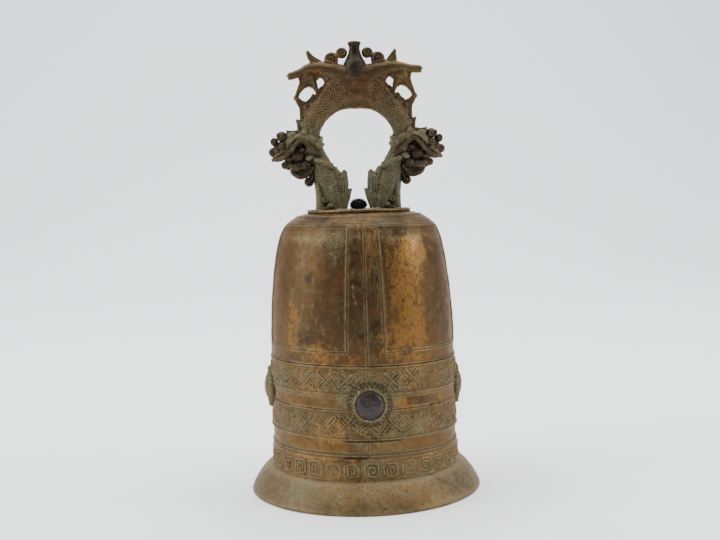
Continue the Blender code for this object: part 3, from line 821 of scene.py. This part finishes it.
def dragon_tail():
    clay = Clay().bar(TAIL, sides=20).fin(TAIL_WEB, 2.2)
    clay.bar([(-1, 251.6, 9, 7.7), (6, 251.4, 9, 7.8), (12, 249.8, 8, 7.6), (15.8, 248.4, 5.8, 7.2),
              (19.6, 245, 3.4, 6.4), (22.6, 242, 2.6, 5.4)], 4, 24)
    clay.ball((17, 0, 257), (3.6, 5.6, 4.8))
    clay.ball((28.6, 0, 257), (4.8, 4.6, 4.8))
    clay.bar([(20, 261, 3.8, 3.8), (23.6, 265.2, 3.2, 3.2), (26, 269.2, 2, 2.3), (27.2, 272.6, 1, 1.4)])
    clay.bar([(29, 256.5, 3.6, 4), (33, 252, 2.2, 3), (35.4, 247.6, 1.5, 2.4), (37, 243.8, 1.2, 2)], 4, 12)
    clay.bar([(28, 257, 3.2, 3.8), (25.4, 252.4, 1.9, 3), (24, 248, 1.3, 2.6), (23, 245, 1.4, 2.8)], 4, 12)

    def keep(points):
        x, z = points[:, 0], points[:, 2]
        return fade(244, 247, z) * fade(256, 252, z) * fade(20, 17, x) * fade(6, 9, x)

    marks = coiled_scales(((2, 253), (9, 255), (17, 257), (25, 258), (31, 256)), keep)
    return sculpt(clay, 0.26, 4, 0.2, marks)


def uneven_tail(points):
    """The real casting isn't quite even: both upright horns lean to the left, and the left tail droops."""
    x, z = points[:, 0], points[:, 2]
    moved = points.copy()
    moved[:, 0] -= 1.9 * fade(262, 271, z) * fade(17, 23, np.abs(x))
    moved[:, 2] -= 3.0 * fade(-27, -42, x) * fade(250, 257, z)
    return moved


def cloud_scroll():
    """Two linked spirals that roll over like a cloud's edge."""
    clay = Clay()
    for (x, z), radius, start, way in (((7.8, 270.9), 4.1, -40, 1), ((14.8, 267.2), 4.8, 150, -1)):
        clay.curl((x, 0, z), radius, 2.7, 1.35, start, way, 0.22)
        clay.ball((x, 0, z), (radius * 0.85, 1.9, radius * 0.85))
    clay.bar([(9.8, 269.6, 1.5, 2.6), (11.3, 269.2, 1.7, 2.8), (12.6, 269.6, 1.5, 2.6)], 3, 12)
    clay.bar([(12, 261.5, 3, 3.8), (15.5, 264, 3.4, 3.6), (19.4, 264.6, 2.4, 3)])
    clay.bar([(11.8, 262, 1.5, 3.4), (11.4, 265.4, 1.2, 2.8), (11.3, 268.6, 1.3, 2.6)], 4, 12)
    clay.bar([(4.6, 262.4, 1.4, 3.4), (8.4, 262.2, 1.4, 3.6), (11.8, 262.4, 1.6, 3.6)], 4, 12)
    return sculpt(clay, 0.22, 1, 0.08)


def dragon_head():
    """The skull and snout with ribbon-like wavy lips, brows, ears and a mane of flame locks."""
    clay = Clay().bar([
        (22.5, 212, 4, 7.2), (27, 216, 4.4, 8), (31.5, 219, 4.2, 8.2), (36, 219.6, 3.6, 8.2),
        (41, 217, 4, 7.8), (45.6, 212.8, 4, 6.8), (49.5, 208.8, 2.6, 5.4), (52, 206.6, 1.4, 4.2),
    ], 4, 20)
    clay.fin([(33.6, 218), (35.6, 224), (39.2, 223.4), (43.6, 224), (43.8, 221.6), (40, 216.5)], 6)
    for _ in clay.both_sides():
        clay.tube([(x, y, z, 1.15, 1.5) for (x, z), y in zip(LIP, LIP_Y)], 4, 12)
        clay.wire([(x - 0.2, y + 0.9, z - 1) for (x, z), y in zip(LIP, LIP_Y)], 0.62)
        clay.wire([(43.8, 7.2, 213.6), (40.4, 8.2, 217.4), (37, 8.4, 219.6), (33.6, 8, 219.4),
                   (30.8, 7.6, 216.6)], [0.8, 1.1, 1.1, 1.0, 0.7])
        clay.ball((39.4, 6.6, 220.4), (3.4, 2.2, 2.0), -10)
        clay.ball((28, 6.4, 218.4), (1.9, 2.2, 2.6), 30)
        clay.ball((32.6, 6.8, 222), (1.9, 2.0, 1.9))
        clay.ball((29.4, 6, 206.8), (3.2, 2.0, 1.9), 24)
        clay.wire([(25, 7, 213.6), (22.8, 7.2, 216.6), (21.6, 5.8, 219.4)], [1.9, 1.5, 0.7])
        clay.wire([(26.6, 6.6, 206), (23.4, 7.2, 204.4), (20.4, 6.6, 204.2)], [1.9, 1.6, 0.8])
    return sculpt(clay, 0.25, 2, 0.2)


def nose_curls():
    """The cluster of pearls on the snout, the biggest ones scrolls."""
    clay = Clay()
    for x, y, z, r in ((46.5, 3.5, 220.2, 3.2), (51.3, 2.3, 217, 2.5), (46, 6.2, 214.2, 2.7),
                       (52.2, 2.6, 210.6, 2.8), (49.6, 5, 211.6, 2)):
        for _ in clay.both_sides():
            clay.ball((x, y, z), r)
    for side in clay.both_sides():
        clay.curl((46.5, 5.6, 220.2), 3.7, 1.5, 1.4, 40, side, 0.22)
        clay.curl((51.3, 3.9, 217), 2.7, 1.2, 1.2, 100, side, 0.26)
    clay.bar([(44.6, 215, 3.4, 5.5), (48.6, 213, 3.4, 5), (51, 209.4, 2.2, 4.4)])
    clay.bar([(47.4, 207.4, 1.4, 4.6), (50.8, 206.4, 1.5, 4.8), (53.4, 205.8, 1, 3.8)])
    return sculpt(clay, 0.24, 1, 0.08)


def lower_jaw():
    """The jaw with its lip, and the full mouth behind it."""
    clay = Clay().fin([
        (25.5, 207), (29, 211), (32, 214), (35.6, 215.6), (39, 213), (42, 209.4), (45.6, 207), (45, 204),
        (42, 200), (37, 198), (31, 200), (26.6, 204),
    ], 3.6)
    for _ in clay.both_sides():
        clay.ball((36.8, 2.6, 208.4), (4.6, 3.4, 5.6), 25)
        clay.ball((33.8, 4.2, 212.4), (2.2, 2.0, 2.2))
        clay.ball((41.6, 3.2, 206.6), (2.4, 2.2, 2.2))
        clay.ball((36.4, 4.6, 201), (6.0, 4.4, 3.5), -6)
        clay.ball((32.2, 5.4, 202.6), (3.0, 3.2, 2.6))
        clay.wire([(28.4, 6.6, 199.4), (31.6, 7.2, 196.4), (35.6, 7, 195.2), (39.2, 5.8, 196.6),
                   (41.6, 4.2, 199.4)], [1.0, 1.6, 1.7, 1.5, 1.0])
        clay.wire([(40.6, 5.6, 203.6), (42.8, 4.6, 202), (43.2, 3.2, 199.8)], [0.9, 1.2, 0.9])
    clay.bar([(28, 201, 3, 6.8), (32, 197.6, 2.6, 7), (37, 196.6, 2.2, 6.6), (41, 198.6, 1.8, 5.2)], 4, 18)
    return sculpt(clay, 0.25, 2, 0.16)


def foreleg():
    """The leg with flame fins on its inner edge and locks of mane on the shoulder."""
    clay = Clay().bar(LEG, sides=22)
    for y in (-4.2, 0.0, 4.2):
        for outline in (
            ((16, 204), (14, 199.8), (12.2, 197.2), (10.4, 196.8), (8.4, 199), (6.8, 197.6), (6, 190.6),
             (6.2, 187), (12, 182), (18, 190)),
            ((13, 189.4), (9, 186.6), (3.8, 187.2), (5.2, 181.6), (7.2, 174.7), (13, 174.7)),
        ):
            clay.fin([(x + 0.5 * (y == 0), z) for x, z in outline], 1.1, y)
    clay.bar([(15, 200, 2.2, 4.2), (10.8, 193, 2.6, 5), (9.6, 185.6, 2.6, 5), (9.8, 179, 2.4, 4.8),
              (9.8, 174.8, 2.4, 4.8)])
    for side in clay.both_sides():
        for k in range(3):
            clay.wire([(12.6 - 2 * k, 5.4, 197 - 1.6 * k), (11 - 1.6 * k, 5.6, 191 - k),
                       (11.4 - 1.6 * k, 5.4, 184.6)], [0.4, 0.6, 0.35])
        clay.wire([(24.6, 5.4, 204.6), (19.6, 6.8, 202.2), (15.6, 5.8, 200.4), (13.6, 4.4, 199.8)],
                  [1.5, 1.7, 1.4, 0.8])
        clay.curl((20.6, 4.4, 180), 2.9, 1.8, 1.3, 200, side, 0.26)
        clay.ball((17.6, 4.6, 176.6), (2.2, 2.2, 1.9))
    return sculpt(clay, 0.26, 2, 0.16, coiled_scales(LEG, lambda p: fade(9, 12.5, p[:, 0]), 0.26))


def leg_brace():
    clay = Clay().bar([(23, 174.7, 3.9, 5.2), (23.4, 180, 3.3, 4.6), (24, 187, 2.9, 4.2), (25, 194, 2.8, 4)],
                      4, 18)
    clay.bar([(16.6, 174.9, 2.6, 4.6), (22.6, 174.9, 2.6, 5.4)], 2)
    return sculpt(clay, 0.3, 3, 0.16)


def beard_curl():
    clay = Clay().curl((30.6, 0, 191.6), 3.7, 4.6, 1.4, 100, 1, 0.24)
    clay.ball((30.6, 0, 191.6), (3.0, 3.8, 3.0))
    clay.bar([(28, 197, 2.2, 4.8), (28.8, 193.6, 2, 4.6), (30.2, 191.6, 1.4, 4.2)], 4, 12)
    return sculpt(clay, 0.26, 1, 0.08)


def chin_curl():
    clay = Clay()
    for side in clay.both_sides():
        clay.ball((45.2, 2, 202.5), 2.4)
        clay.curl((45.2, 3.4, 202.5), 2.5, 1.1, 1.1, 160, side, 0.28)
    clay.ball((43.4, 0, 203.6), (2.0, 4.0, 2.0))
    return sculpt(clay, 0.25, 1, 0.06)


def mark_lip(head):
    """Writes where the dark lip runs, on both sides of a head."""
    x, y, z = vectors_of(head.data.vertices, "co").T / MM
    near = fade(2.2, 2.2 * 0.6, to_segments(np.abs(x), z + 0.3, LIP))
    write(head.data, "lipped", near * (np.abs(y) > 3))


def dragons(bronze, face, legs_painted_lighter):
    for node, sculpted, material, slot in (
        ("dragon_body", dragon_body, bronze, "green_bronze"),
        ("dragon_tail", dragon_tail, bronze, "green_bronze"),
        ("cloud_scroll", cloud_scroll, bronze, "aged_bronze"),
        ("dragon_head", dragon_head, bronze, "green_bronze"),
        ("nose_curls", nose_curls, face, "dark_bronze"),
        ("lower_jaw", lower_jaw, face, "dark_bronze"),
        ("foreleg", foreleg, legs_painted_lighter, "green_bronze"),
        ("leg_brace", leg_brace, legs_painted_lighter, "green_bronze"),
        ("beard_curl", beard_curl, face, "dark_bronze"),
        ("chin_curl", chin_curl, face, "dark_bronze"),
    ):
        shape = uneven_tail if node == "dragon_tail" else None
        for piece in cast_pair(node, sculpted(), material, slot, shape):
            if node == "dragon_head":
                mark_lip(piece)


# ---------------------------------------------------------------- middle of the crown

def arch_saddle():
    half = [(12, 242.4, 7.4, 7.1), (8.5, 243.8, 8.2, 7.9), (4, 245, 8.6, 8.1)]
    clay = Clay().bar([(-x, *rest) for x, *rest in half] + [(0, 245.2, 8.8, 8.1)] + half[::-1], 4, 24)
    clay.bar([(-7, 251.4, 8.8, 7.4), (0, 251.8, 9, 7.9), (7, 251.4, 8.8, 7.4)], 4, 24)
    return sculpt(clay, 0.32, 4, 0.22)


def vase_finial():
    """A bottle-shaped vessel with an open neck, from an outline of (radius, height)."""
    r, z = catmull([
        (0.2, 268), (2.4, 268.2), (2.6, 270), (2.6, 274), (2.7, 277), (3.1, 277.6), (3.8, 277.5),
        (4.15, 276.9), (4.1, 276), (3.6, 275.2), (3.4, 273), (4, 270.2), (5.4, 267.2), (7, 264.2),
        (7.8, 260.4), (7.6, 256.4), (6.8, 252.4), (6, 248.5), (0.2, 248),
    ], 5).T[:, :, None]
    count, sides = len(r), 96
    angles = full_turn(sides)
    lumps = layered(turned(r, angles, z).reshape(-1, 3), 2.6, 71).reshape(count, sides)
    points = turned(r + 0.16 * lumps * fade(0.2, 3.0, r), angles, z)
    faces = wrapped_faces(count, sides)[:-sides].tolist() + closed_ends(count, sides)
    return points.reshape(-1, 3), faces


# ---------------------------------------------------------------- cord and clapper

CORD_D = 1.8
PIVOT_Z = 163.0
CORD_TOP = (1.25, 159.7)  # x and height of the cord where it leaves the hitch
CORD_LOW_Z = 80.0
LOOP_R = 4.0  # of the cord's bend round the eye
EYE_R = 4.0
EYE_WIRE_R = 1.3
EYE_Z = 78.5
KNOT_CENTRE = np.array((0.0, 0.0, 176.3))
KNOT_SPREAD = np.array((4.3, 4.3, 3.5))
PLATE_TOP = 174.4
FIBRES = 700


def cord_route():
    """The doubled cord's line: down from the hitch, round the clapper's eye and up again."""
    bend_z = CORD_LOW_Z + LOOP_R
    down = [CORD_TOP, (1.5, 148), (2.3, 124), (3.4, 100), (LOOP_R, bend_z)]
    bend = [(LOOP_R * cos(a), bend_z - LOOP_R * sin(a)) for a in (radians(36 * k) for k in range(1, 5))]
    return catmull(down + bend + [(-x, z) for x, z in reversed(down)], 4)


def clapper_cord(fibre):
    line = cord_route()
    curve = bpy.data.curves.new("clapper_cord_twist", "CURVE")
    curve.dimensions = "3D"
    spline = curve.splines.new("POLY")
    spline.points.add(len(line) - 1)
    for point, (x, z) in zip(spline.points, line):
        point.co = (x * MM, 0, z * MM, 1)
        point.radius = MM
    curve.bevel_depth = CORD_D / 2
    curve.bevel_resolution = 4
    curve.use_fill_caps = True
    cord = place("clapper_cord_twist", curve)
    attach(cord, "cord")
    return dress(cord, fibre, "black_cord", "clapper_cord"), float(run_along(line)[-1]) * MM


def wound_ball(clay, centre, radius, thick, turns, seed):
    """Cord wound over a ball in several directions."""
    random = np.random.default_rng(seed)
    spin = np.linspace(0, 2 * pi * 0.96, 18)
    for k in range(turns):
        axis = unit(random.normal(size=3))
        side = unit(np.cross(axis, (0.3, 0.5, 0.8)))
        other = np.cross(axis, side)
        lift = random.uniform(-0.45, 0.45) * radius
        reach = sqrt(radius ** 2 - lift ** 2) * (1 + 0.05 * np.sin(3 * spin + k))
        around = np.cos(spin)[:, None] * side + np.sin(spin)[:, None] * other
        clay.wire(np.array(centre) + axis * lift + reach[:, None] * around, thick, 2)
    return clay


def cord_knot(fibre):
    """The fuzzy knot on the crown plate: a lumpy ball, the stem down through the hole and wound turns."""
    clay = Clay().ball(KNOT_CENTRE, KNOT_SPREAD * 0.94)
    for x, y, z, r in ((-3, -1.4, 176.6, 1.9), (3.1, -1.6, 176.4, 2), (0.4, -3, 177.6, 1.8),
                       (-0.8, 1.8, 178.4, 1.8), (1.8, 0.4, 178.6, 1.5)):
        clay.ball((x, y, z), (r, r, r * 0.9))
    clay.wire([(0, 0, 166.6), (0.1, 0, 171), (0, 0, 176)], 1.75)
    ropes = wound_ball(Clay(), (0, 0, 0), 3.8, 0.8, 10, 5)
    clay.add(KNOT_CENTRE + np.array(ropes.points) * (1.0, 0.96, 0.72), ropes.faces)
    points, faces = sculpt(clay, 0.28, 0, 0.4)
    over_plate = np.hypot(points[:, 0], points[:, 1]) > 2.1
    points[:, 2] = np.where(over_plate, np.maximum(points[:, 2], PLATE_TOP), points[:, 2])
    knot = make_object("cord_knot_wound", points, faces)
    dress(knot, fibre, "black_cord", "cord_knot", rounds=4)


def knot_fuzz(fibre):
    """Loose fibres that stand out all over the knot, clear of the plate."""
    fuzz = Clay()
    random = np.random.default_rng(9)
    for _ in range(FIBRES):
        way = random.normal(size=3)
        way[2] = abs(way[2]) * 0.9 - 0.25
        way = unit(way)
        root = KNOT_CENTRE + way * KNOT_SPREAD
        root[2] = max(root[2], PLATE_TOP + 0.3)
        bend = random.normal(size=3) * 0.5
        length = random.uniform(0.4, 1.3)
        tip = root + way * length + bend
        tip[2] = max(tip[2], PLATE_TOP + 0.2)
        fuzz.wire([root - way * 0.6, root + way * length * 0.5, tip], [0.22, 0.2, 0.1], 2, 5)
    tufts = make_object("cord_knot_fuzz", fuzz.points, fuzz.faces)
    dress(tufts, fibre, "black_cord", rounds=2)


def cord_hitch(fibre):
    clay = wound_ball(Clay().ball((0, 0, PIVOT_Z), 2.5), (0, 0, PIVOT_Z), 2.2, 0.75, 8, 7)
    wound = sculpt(clay, 0.24, 0, 0.08)
    return cast_single("cord_hitch_wound", wound, fibre, "black_cord", "cord_hitch", "hitch")


def clapper(iron):
    """A forged pear-shaped bob with a collar, a shank and a ring eye."""
    clay = Clay().ball((0, 0, 61), 11, sides=32)
    clay.bar([(0, 68, 7, 7), (0, 71.5, 4.2, 4.2), (0, 73.5, 2.4, 2.4), (0, 75, 2.2, 2.2)], 4, 20)
    spin = np.linspace(0, 2 * pi, 25)[:-1]
    around, tube = np.meshgrid(spin, spin[::2], indexing="ij")
    reach = EYE_R + EYE_WIRE_R * np.sin(tube)
    eye = np.stack([EYE_WIRE_R * np.cos(tube), reach * np.cos(around), EYE_Z + reach * np.sin(around)])
    clay.add(eye.reshape(3, -1).T, wrapped_faces(24, 12).tolist())
    dented = sculpt(clay, 0.4, 1, 0.12, lambda p: -0.25 * fade(0.25, 0.7, noise(p, 5, 81)))
    cast_single("clapper_forged", dented, iron, "iron", "clapper", "clapper")


# ---------------------------------------------------------------- materials

class Shader:
    """The node tree of a material or of the world, built up by short calls that return sockets."""

    def __init__(self, owner, surface="Principled BSDF", place="Object"):
        owner.use_nodes = True
        self.owner = owner
        self.tree = owner.node_tree
        self.surface = self.tree.nodes[surface]
        self.place = self.node("TexCoord", {})[place]

    def link(self, source, target):
        if isinstance(source, (int, float, tuple)):
            target.default_value = source
        elif source is not None:
            self.tree.links.new(source, target)

    def node(self, kind, inputs, **settings):
        """Adds a node with these settings and inputs, which are values or sockets. Returns its outputs."""
        node = self.tree.nodes.new("ShaderNode" + kind)
        for name, value in settings.items():
            setattr(node, name, value)
        for key, source in inputs.items():
            self.link(source, node.inputs[key])
        return node.outputs

    def noise(self, scale, detail=4.0, rough=0.6, warp=0.0, stretch=(1, 1, 1), shift=0.0):
        """Noise with that many lumps in a metre."""
        where = {"Vector": self.place, "Scale": stretch, "Location": (shift, shift * 0.7, shift * 1.3)}
        spot = self.node("Mapping", where)["Vector"]
        return self.node("TexNoise", {"Vector": spot, "Scale": scale, "Detail": detail, "Roughness": rough,
                                      "Distortion": warp})["Fac"]

    def between(self, value, low, high):
        """0 below low, 1 above high; the other way round where low is above high."""
        falls = low > high
        return self.node("MapRange", {
            "Value": value, "From Min": min(low, high), "From Max": max(low, high),
            "To Min": float(falls), "To Max": float(not falls),
        }, interpolation_type="SMOOTHSTEP")["Result"]

    def math(self, operation, first, second):
        return self.node("Math", {0: first, 1: second}, operation=operation)[0]

    def times(self, first, second):
        return self.math("MULTIPLY", first, second)

    def plus(self, first, second):
        return self.math("ADD", first, second)

    def largest(self, first, second):
        return self.math("MAXIMUM", first, second)

    def mix(self, share, first, second):
        """A colour between first and second."""
        first, second = ((*c, 1.0) if isinstance(c, tuple) else c for c in (first, second))
        return self.node("Mix", {0: share, 6: first, 7: second}, data_type="RGBA")[2]

    def blend(self, share, first, second):
        """A number between first and second."""
        return self.node("Mix", {0: share, 2: first, 3: second})[0]

    def attribute(self, name):
        return self.node("Attribute", {}, attribute_name=name)["Fac"]

    def along(self, axis):
        """The place along the X, Y or Z axis."""
        return self.node("SeparateXYZ", {0: self.place})[axis]

    def bump(self, value, depth, normal=None):
        inputs = {"Distance": depth, "Strength": 1.0, "Height": value, "Normal": normal}
        return self.node("Bump", inputs)["Normal"]

    def two_tones(self, share, low, high):
        return self.mix(self.between(share, 0.35, 0.65), low, high)

    def layer(self, colour, tone, value, low, high, strength):
        """Lays tone over colour where value is above low to high."""
        return self.mix(self.times(self.between(value, low, high), strength), colour, tone)

    def finish(self, colour, roughness, metallic, normal=None):
        values = {"Base Color": colour, "Roughness": roughness, "Metallic": metallic, "Normal": normal}
        for name, value in values.items():
            self.link(value, self.surface.inputs[name])
        return self.owner


OLIVE = (0.14, 0.08, 0.027)
UMBER = (0.074, 0.041, 0.016)
CHARCOAL = (0.02, 0.015, 0.011)
GOLD = (0.238, 0.112, 0.024)
TAN = (0.25, 0.165, 0.075)
RUST = (0.12, 0.046, 0.015)
VERDIGRIS = (0.125, 0.124, 0.07)
PALE_GREEN = (0.22, 0.245, 0.15)
LIP_DARK = (0.03, 0.019, 0.016)
LIP_BROWN = (0.095, 0.05, 0.028)
WARM_SHEEN = (0.58, 0.44, 0.3, 1)


def material(name):
    return Shader(bpy.data.materials.new(name))


def bronze(name, ground, deep, gold, green, dark, edge=0.6, groove=1.0, gloss=0.3, hollow_shade=0.55, rust=0.5,
           tarnish=0.0, green_heights=None):
    """Patinated bronze: a ground of two tones, rubbed gold and rust, ridge tops paled partly by wear and
    partly as a painted highlight, dark dashes and stains (among them a painted shade band over the shoulder),
    verdigris in the hollows, which grows towards the second of green_heights where those are given, and
    painted shade that darkens the deepest hollows."""
    s = material(name)
    hollow, rubbed, bloomed, stained_and_shaded = map(s.attribute, ("hollow", "rubbed", "bloomed", "stained_and_shaded"))
    patches = s.noise(26, 3, 0.55, 0.4)
    mottle = s.noise(190, 6, 0.68, 0.5, shift=0.3)
    speck = s.noise(900, 4, 0.7, 0.2, shift=0.6)
    grain = s.noise(420, 6, 0.74, 0.4, (1, 1, 0.66), 0.9)
    colour = s.mix(s.between(patches, 0.38, 0.62), deep, ground)
    colour = s.layer(colour, deep, mottle, 0.42, 0.62, 0.45)
    colour = s.layer(colour, RUST, s.noise(60, 5, 0.65, 0.5, shift=1.7), 0.5, 0.68, rust)
    rubbing = s.plus(s.times(rubbed, 0.2), s.blend(0.45, grain, mottle))
    colour = s.layer(colour, GOLD, rubbing, 0.54, 0.68, gold)
    # Pale ridge tops: partly rubbed wear, partly a painted highlight on the raised edges.
    pale_ridge_wear_and_highlight = s.times(s.between(hollow, 0.42, 0.14), s.between(mottle, 0.32, 0.58))
    colour = s.mix(s.times(pale_ridge_wear_and_highlight, edge), colour, s.mix(s.between(speck, 0.5, 0.68), TAN, PALE_GREEN))
    dash = s.between(s.noise(780, 4, 0.68, 0.3, (1, 1, 0.62), 2.1), 0.53, 0.63)
    dash = s.times(dash, s.between(s.plus(s.blend(0.5, patches, mottle), s.times(rubbed, 0.12)), 0.46, 0.62))
    colour = s.mix(s.times(dash, 0.7), colour, CHARCOAL)
    # Dark stains, and through the stained patches also the painted shade band over the shoulder.
    stain_and_shade = s.plus(s.times(stained_and_shaded, 0.2), s.noise(90, 6, 0.72, 0.8, (1, 1, 0.7), 2.6))
    colour = s.layer(colour, CHARCOAL, stain_and_shade, 0.55, 0.74, dark)
    cut = s.times(s.between(hollow, 0.54, 0.76), s.between(mottle, 0.28, 0.5))
    bloom = s.plus(s.times(bloomed, 0.21), s.noise(85, 6, 0.72, 0.6, shift=3.9))
    film = s.times(s.between(bloom, 0.52, 0.76), s.between(speck, 0.35, 0.62))
    cover = s.times(s.largest(s.times(cut, groove), film), green)
    if green_heights:
        low = s.between(s.along("Z"), green_heights[0] * MM, green_heights[1] * MM)
        cover = s.largest(cover, s.times(low, s.between(s.plus(film, mottle), 0.22, 0.66)))
    colour = s.mix(cover, colour, s.mix(s.between(speck, 0.46, 0.72), VERDIGRIS, PALE_GREEN))
    # Painted shade: the deepest hollows are darkened towards charcoal.
    colour = s.layer(colour, CHARCOAL, hollow, 0.62, 0.98, hollow_shade)
    lip = s.mix(s.between(mottle, 0.45, 0.62), LIP_DARK, LIP_BROWN)
    colour = s.mix(s.times(s.attribute("lipped"), 0.85), colour, lip)
    rough = s.blend(s.between(mottle, 0.3, 0.7), gloss, gloss + 0.16)
    rough = s.blend(cover, rough, 0.85)
    normal = s.bump(speck, 0.00007, s.bump(mottle, 0.00014))
    s.surface.inputs["Specular Tint"].default_value = WARM_SHEEN
    return s.finish(colour, rough, s.blend(s.largest(cover, tarnish), 0.62, 0.05), normal)


def dark_dome():
    """The struck bosses: near-black, smooth, with a blue sheen and rubbed spots, and gold on the raised
    edges that is partly wear and partly a painted highlight.
    """
    s = material("struck_dark_bronze")
    cloud = s.noise(160, 5, 0.6, 0.5)
    speck = s.noise(600, 4, 0.6, 0.2, shift=0.4)
    colour = s.two_tones(cloud, (0.01, 0.01, 0.015), (0.036, 0.023, 0.017))
    colour = s.layer(colour, (0.15, 0.062, 0.028), speck, 0.58, 0.68, 0.7)
    # Gold on the raised edges: partly rubbed wear, partly a painted highlight.
    colour = s.layer(colour, GOLD, s.attribute("hollow"), 0.42, 0.18, 0.6)
    return s.finish(colour, s.blend(cloud, 0.34, 0.52), 0.4, s.bump(speck, 0.00008))


def cord_fibre():
    """Black twisted cord: fine slanting plies, with grey flecks that are partly dust and partly a painted
    sheen.
    """
    s = material("black_cord_fibre")
    ply = s.noise(900, 3, 0.6, 0.4, (1, 1, 0.45))
    dust_and_sheen = s.noise(220, 5, 0.7, 0.3, shift=0.8)
    colour = s.two_tones(ply, (0.006, 0.006, 0.008), (0.022, 0.023, 0.028))
    # Grey flecks: partly dust, partly a painted sheen.
    colour = s.layer(colour, (0.06, 0.06, 0.06), dust_and_sheen, 0.55, 0.75, 0.4)
    return s.finish(colour, 0.92, 0.0, s.bump(ply, 0.00035))


def forged_iron():
    s = material("forged_iron")
    scale = s.noise(180, 6, 0.65, 0.5)
    rust = s.noise(800, 4, 0.6, 0.2, shift=0.5)
    colour = s.two_tones(scale, (0.03, 0.027, 0.026), (0.085, 0.07, 0.058))
    colour = s.layer(colour, (0.16, 0.055, 0.022), rust, 0.55, 0.72, 0.8)
    return s.finish(colour, s.blend(scale, 0.5, 0.8), 0.7, s.bump(scale, 0.00025))


# ---------------------------------------------------------------- studio

def camera():
    data = bpy.data.cameras.new("camera")
    data.lens = LENS
    data.sensor_width = SENSOR
    turn = radians(CAMERA_TURN)
    away = CAMERA_REACH * MM
    at = Matrix.Translation((sin(turn) * away, -cos(turn) * away, CAMERA_HEIGHT * MM))
    obj = place("camera", data)
    obj.matrix_world = (at @ Matrix.Rotation(turn + radians(CAMERA_PAN), 4, "Z")
                        @ Matrix.Rotation(radians(90 - CAMERA_DOWN), 4, "X")
                        @ Matrix.Rotation(radians(CAMERA_ROLL), 4, "Z"))
    bpy.context.scene.camera = obj


def soft_light(name, where, aim, size, power, colour):
    data = bpy.data.lights.new(name, "AREA")
    data.shape = "RECTANGLE"
    data.size, data.size_y = size
    data.energy = power
    data.color = colour
    light = place(name, data)
    light.location = where
    light.rotation_euler = (Vector(aim) - Vector(where)).to_track_quat("-Z", "Y").to_euler()


def paper_sweep():
    """The pale floor, which curves up into a wall behind the bell."""
    start, wall, bend, top, half = PAPER
    arc = [(wall - bend + bend * sin(a), bend - bend * cos(a)) for a in np.linspace(0, pi / 2, 25)]
    side = [(start, 0), *arc, (wall, top)]
    mesh = bpy.data.meshes.new("paper_sweep")
    mesh.from_pydata([(x, y, z) for y, z in side for x in (-half, half)], [],
                     [(2 * k, 2 * k + 1, 2 * k + 3, 2 * k + 2) for k in range(len(side) - 1)])
    mesh.shade_smooth()
    sweep = place("paper_sweep", mesh)
    sweep.location.z = -PAPER_GAP
    s = material("paper")
    colour = s.mix(s.noise(40, 3), (0.895, 0.91, 0.93), (0.92, 0.935, 0.955))
    mesh.materials.append(s.finish(colour, 0.9, 0.0))


def surround():
    """Even light from all sides, dimmer from behind the camera so that the metal reflects a darker room."""
    world = bpy.data.worlds.new("surround")
    bpy.context.scene.world = world
    s = Shader(world, "Background", "Generated")
    strength = s.node("MapRange", {"Value": s.along("Y"), "From Min": -0.9, "From Max": 0.3,
                                   "To Min": BEHIND_CAMERA, "To Max": 1.0})["Result"]
    s.link(strength, s.surface.inputs["Strength"])
    s.surface.inputs["Color"].default_value = COOL_WHITE


def studio():
    camera()
    surround()
    paper_sweep()
    for light in LIGHTS:
        soft_light(*light)


def main():
    studio()
    fibre = cord_fibre()
    cord, length = clapper_cord(fibre)
    hitch = cord_hitch(fibre)
    panels = bronze("bronze_panels", (0.096, 0.055, 0.021), (0.058, 0.035, 0.016), 0.72, 0.45, 0.7, 0.55, 0.8)
    belts = bronze("bronze_belts", (0.137, 0.076, 0.024), (0.077, 0.043, 0.016), 0.85, 0.78, 0.6, 0.7, 0.9)
    foot_bronze = bronze("bronze_foot", (0.138, 0.107, 0.06), (0.1, 0.074, 0.037), 0.42, 0.75, 0.45, 0.5,
                         gloss=0.42, rust=0.2, tarnish=0.3)
    inside = bronze("bronze_inside", UMBER, CHARCOAL, 0.15, 0.5, 0.7, gloss=0.6)
    crown = bronze("bronze_crown", (0.104, 0.064, 0.028), (0.054, 0.035, 0.018), 0.42, 0.8, 0.5, 0.45, 0.35,
                   gloss=0.38, hollow_shade=0.9, green_heights=(248, 204))
    # A lighter copy of the crown bronze with its own verdigris heights; the extra lightness is painted light
    # against the shade that the heads cast on the legs.
    legs_painted_lighter = bronze("bronze_leg_painted_lighter", (0.16, 0.108, 0.052), (0.092, 0.064, 0.034), 0.4, 0.8, 0.5, 0.6, 0.35,
                  gloss=0.4, hollow_shade=0.9, green_heights=(232, 186))
    rosettes = bronze("bronze_rosette", OLIVE, UMBER, 0.35, 1.0, 0.3, 0.9, 0.5, gloss=0.5, hollow_shade=0.9)
    face = bronze("bronze_face", (0.046, 0.031, 0.022), (0.023, 0.018, 0.015), 0.18, 0.7, 0.4, 0.4,
                  gloss=0.38, hollow_shade=0.9, rust=0.3)
    vase = bronze("bronze_vase", (0.034, 0.023, 0.016), (0.017, 0.014, 0.012), 0.2, 0.15, 0.7, 0.3,
                  gloss=0.36)
    bell_body(panels, belts, foot_bronze, inside)
    crown_plate(panels)
    bosses(dark_dome(), belts, rosettes)
    dragons(crown, face, legs_painted_lighter)
    cast_single("arch_saddle_cast", arch_saddle(), crown, "aged_bronze", "arch_saddle")
    cast_single("vase_finial_cast", vase_finial(), vase, "aged_bronze", "vase_finial")
    cord_knot(fibre)
    knot_fuzz(fibre)
    clapper(forged_iron())


main()
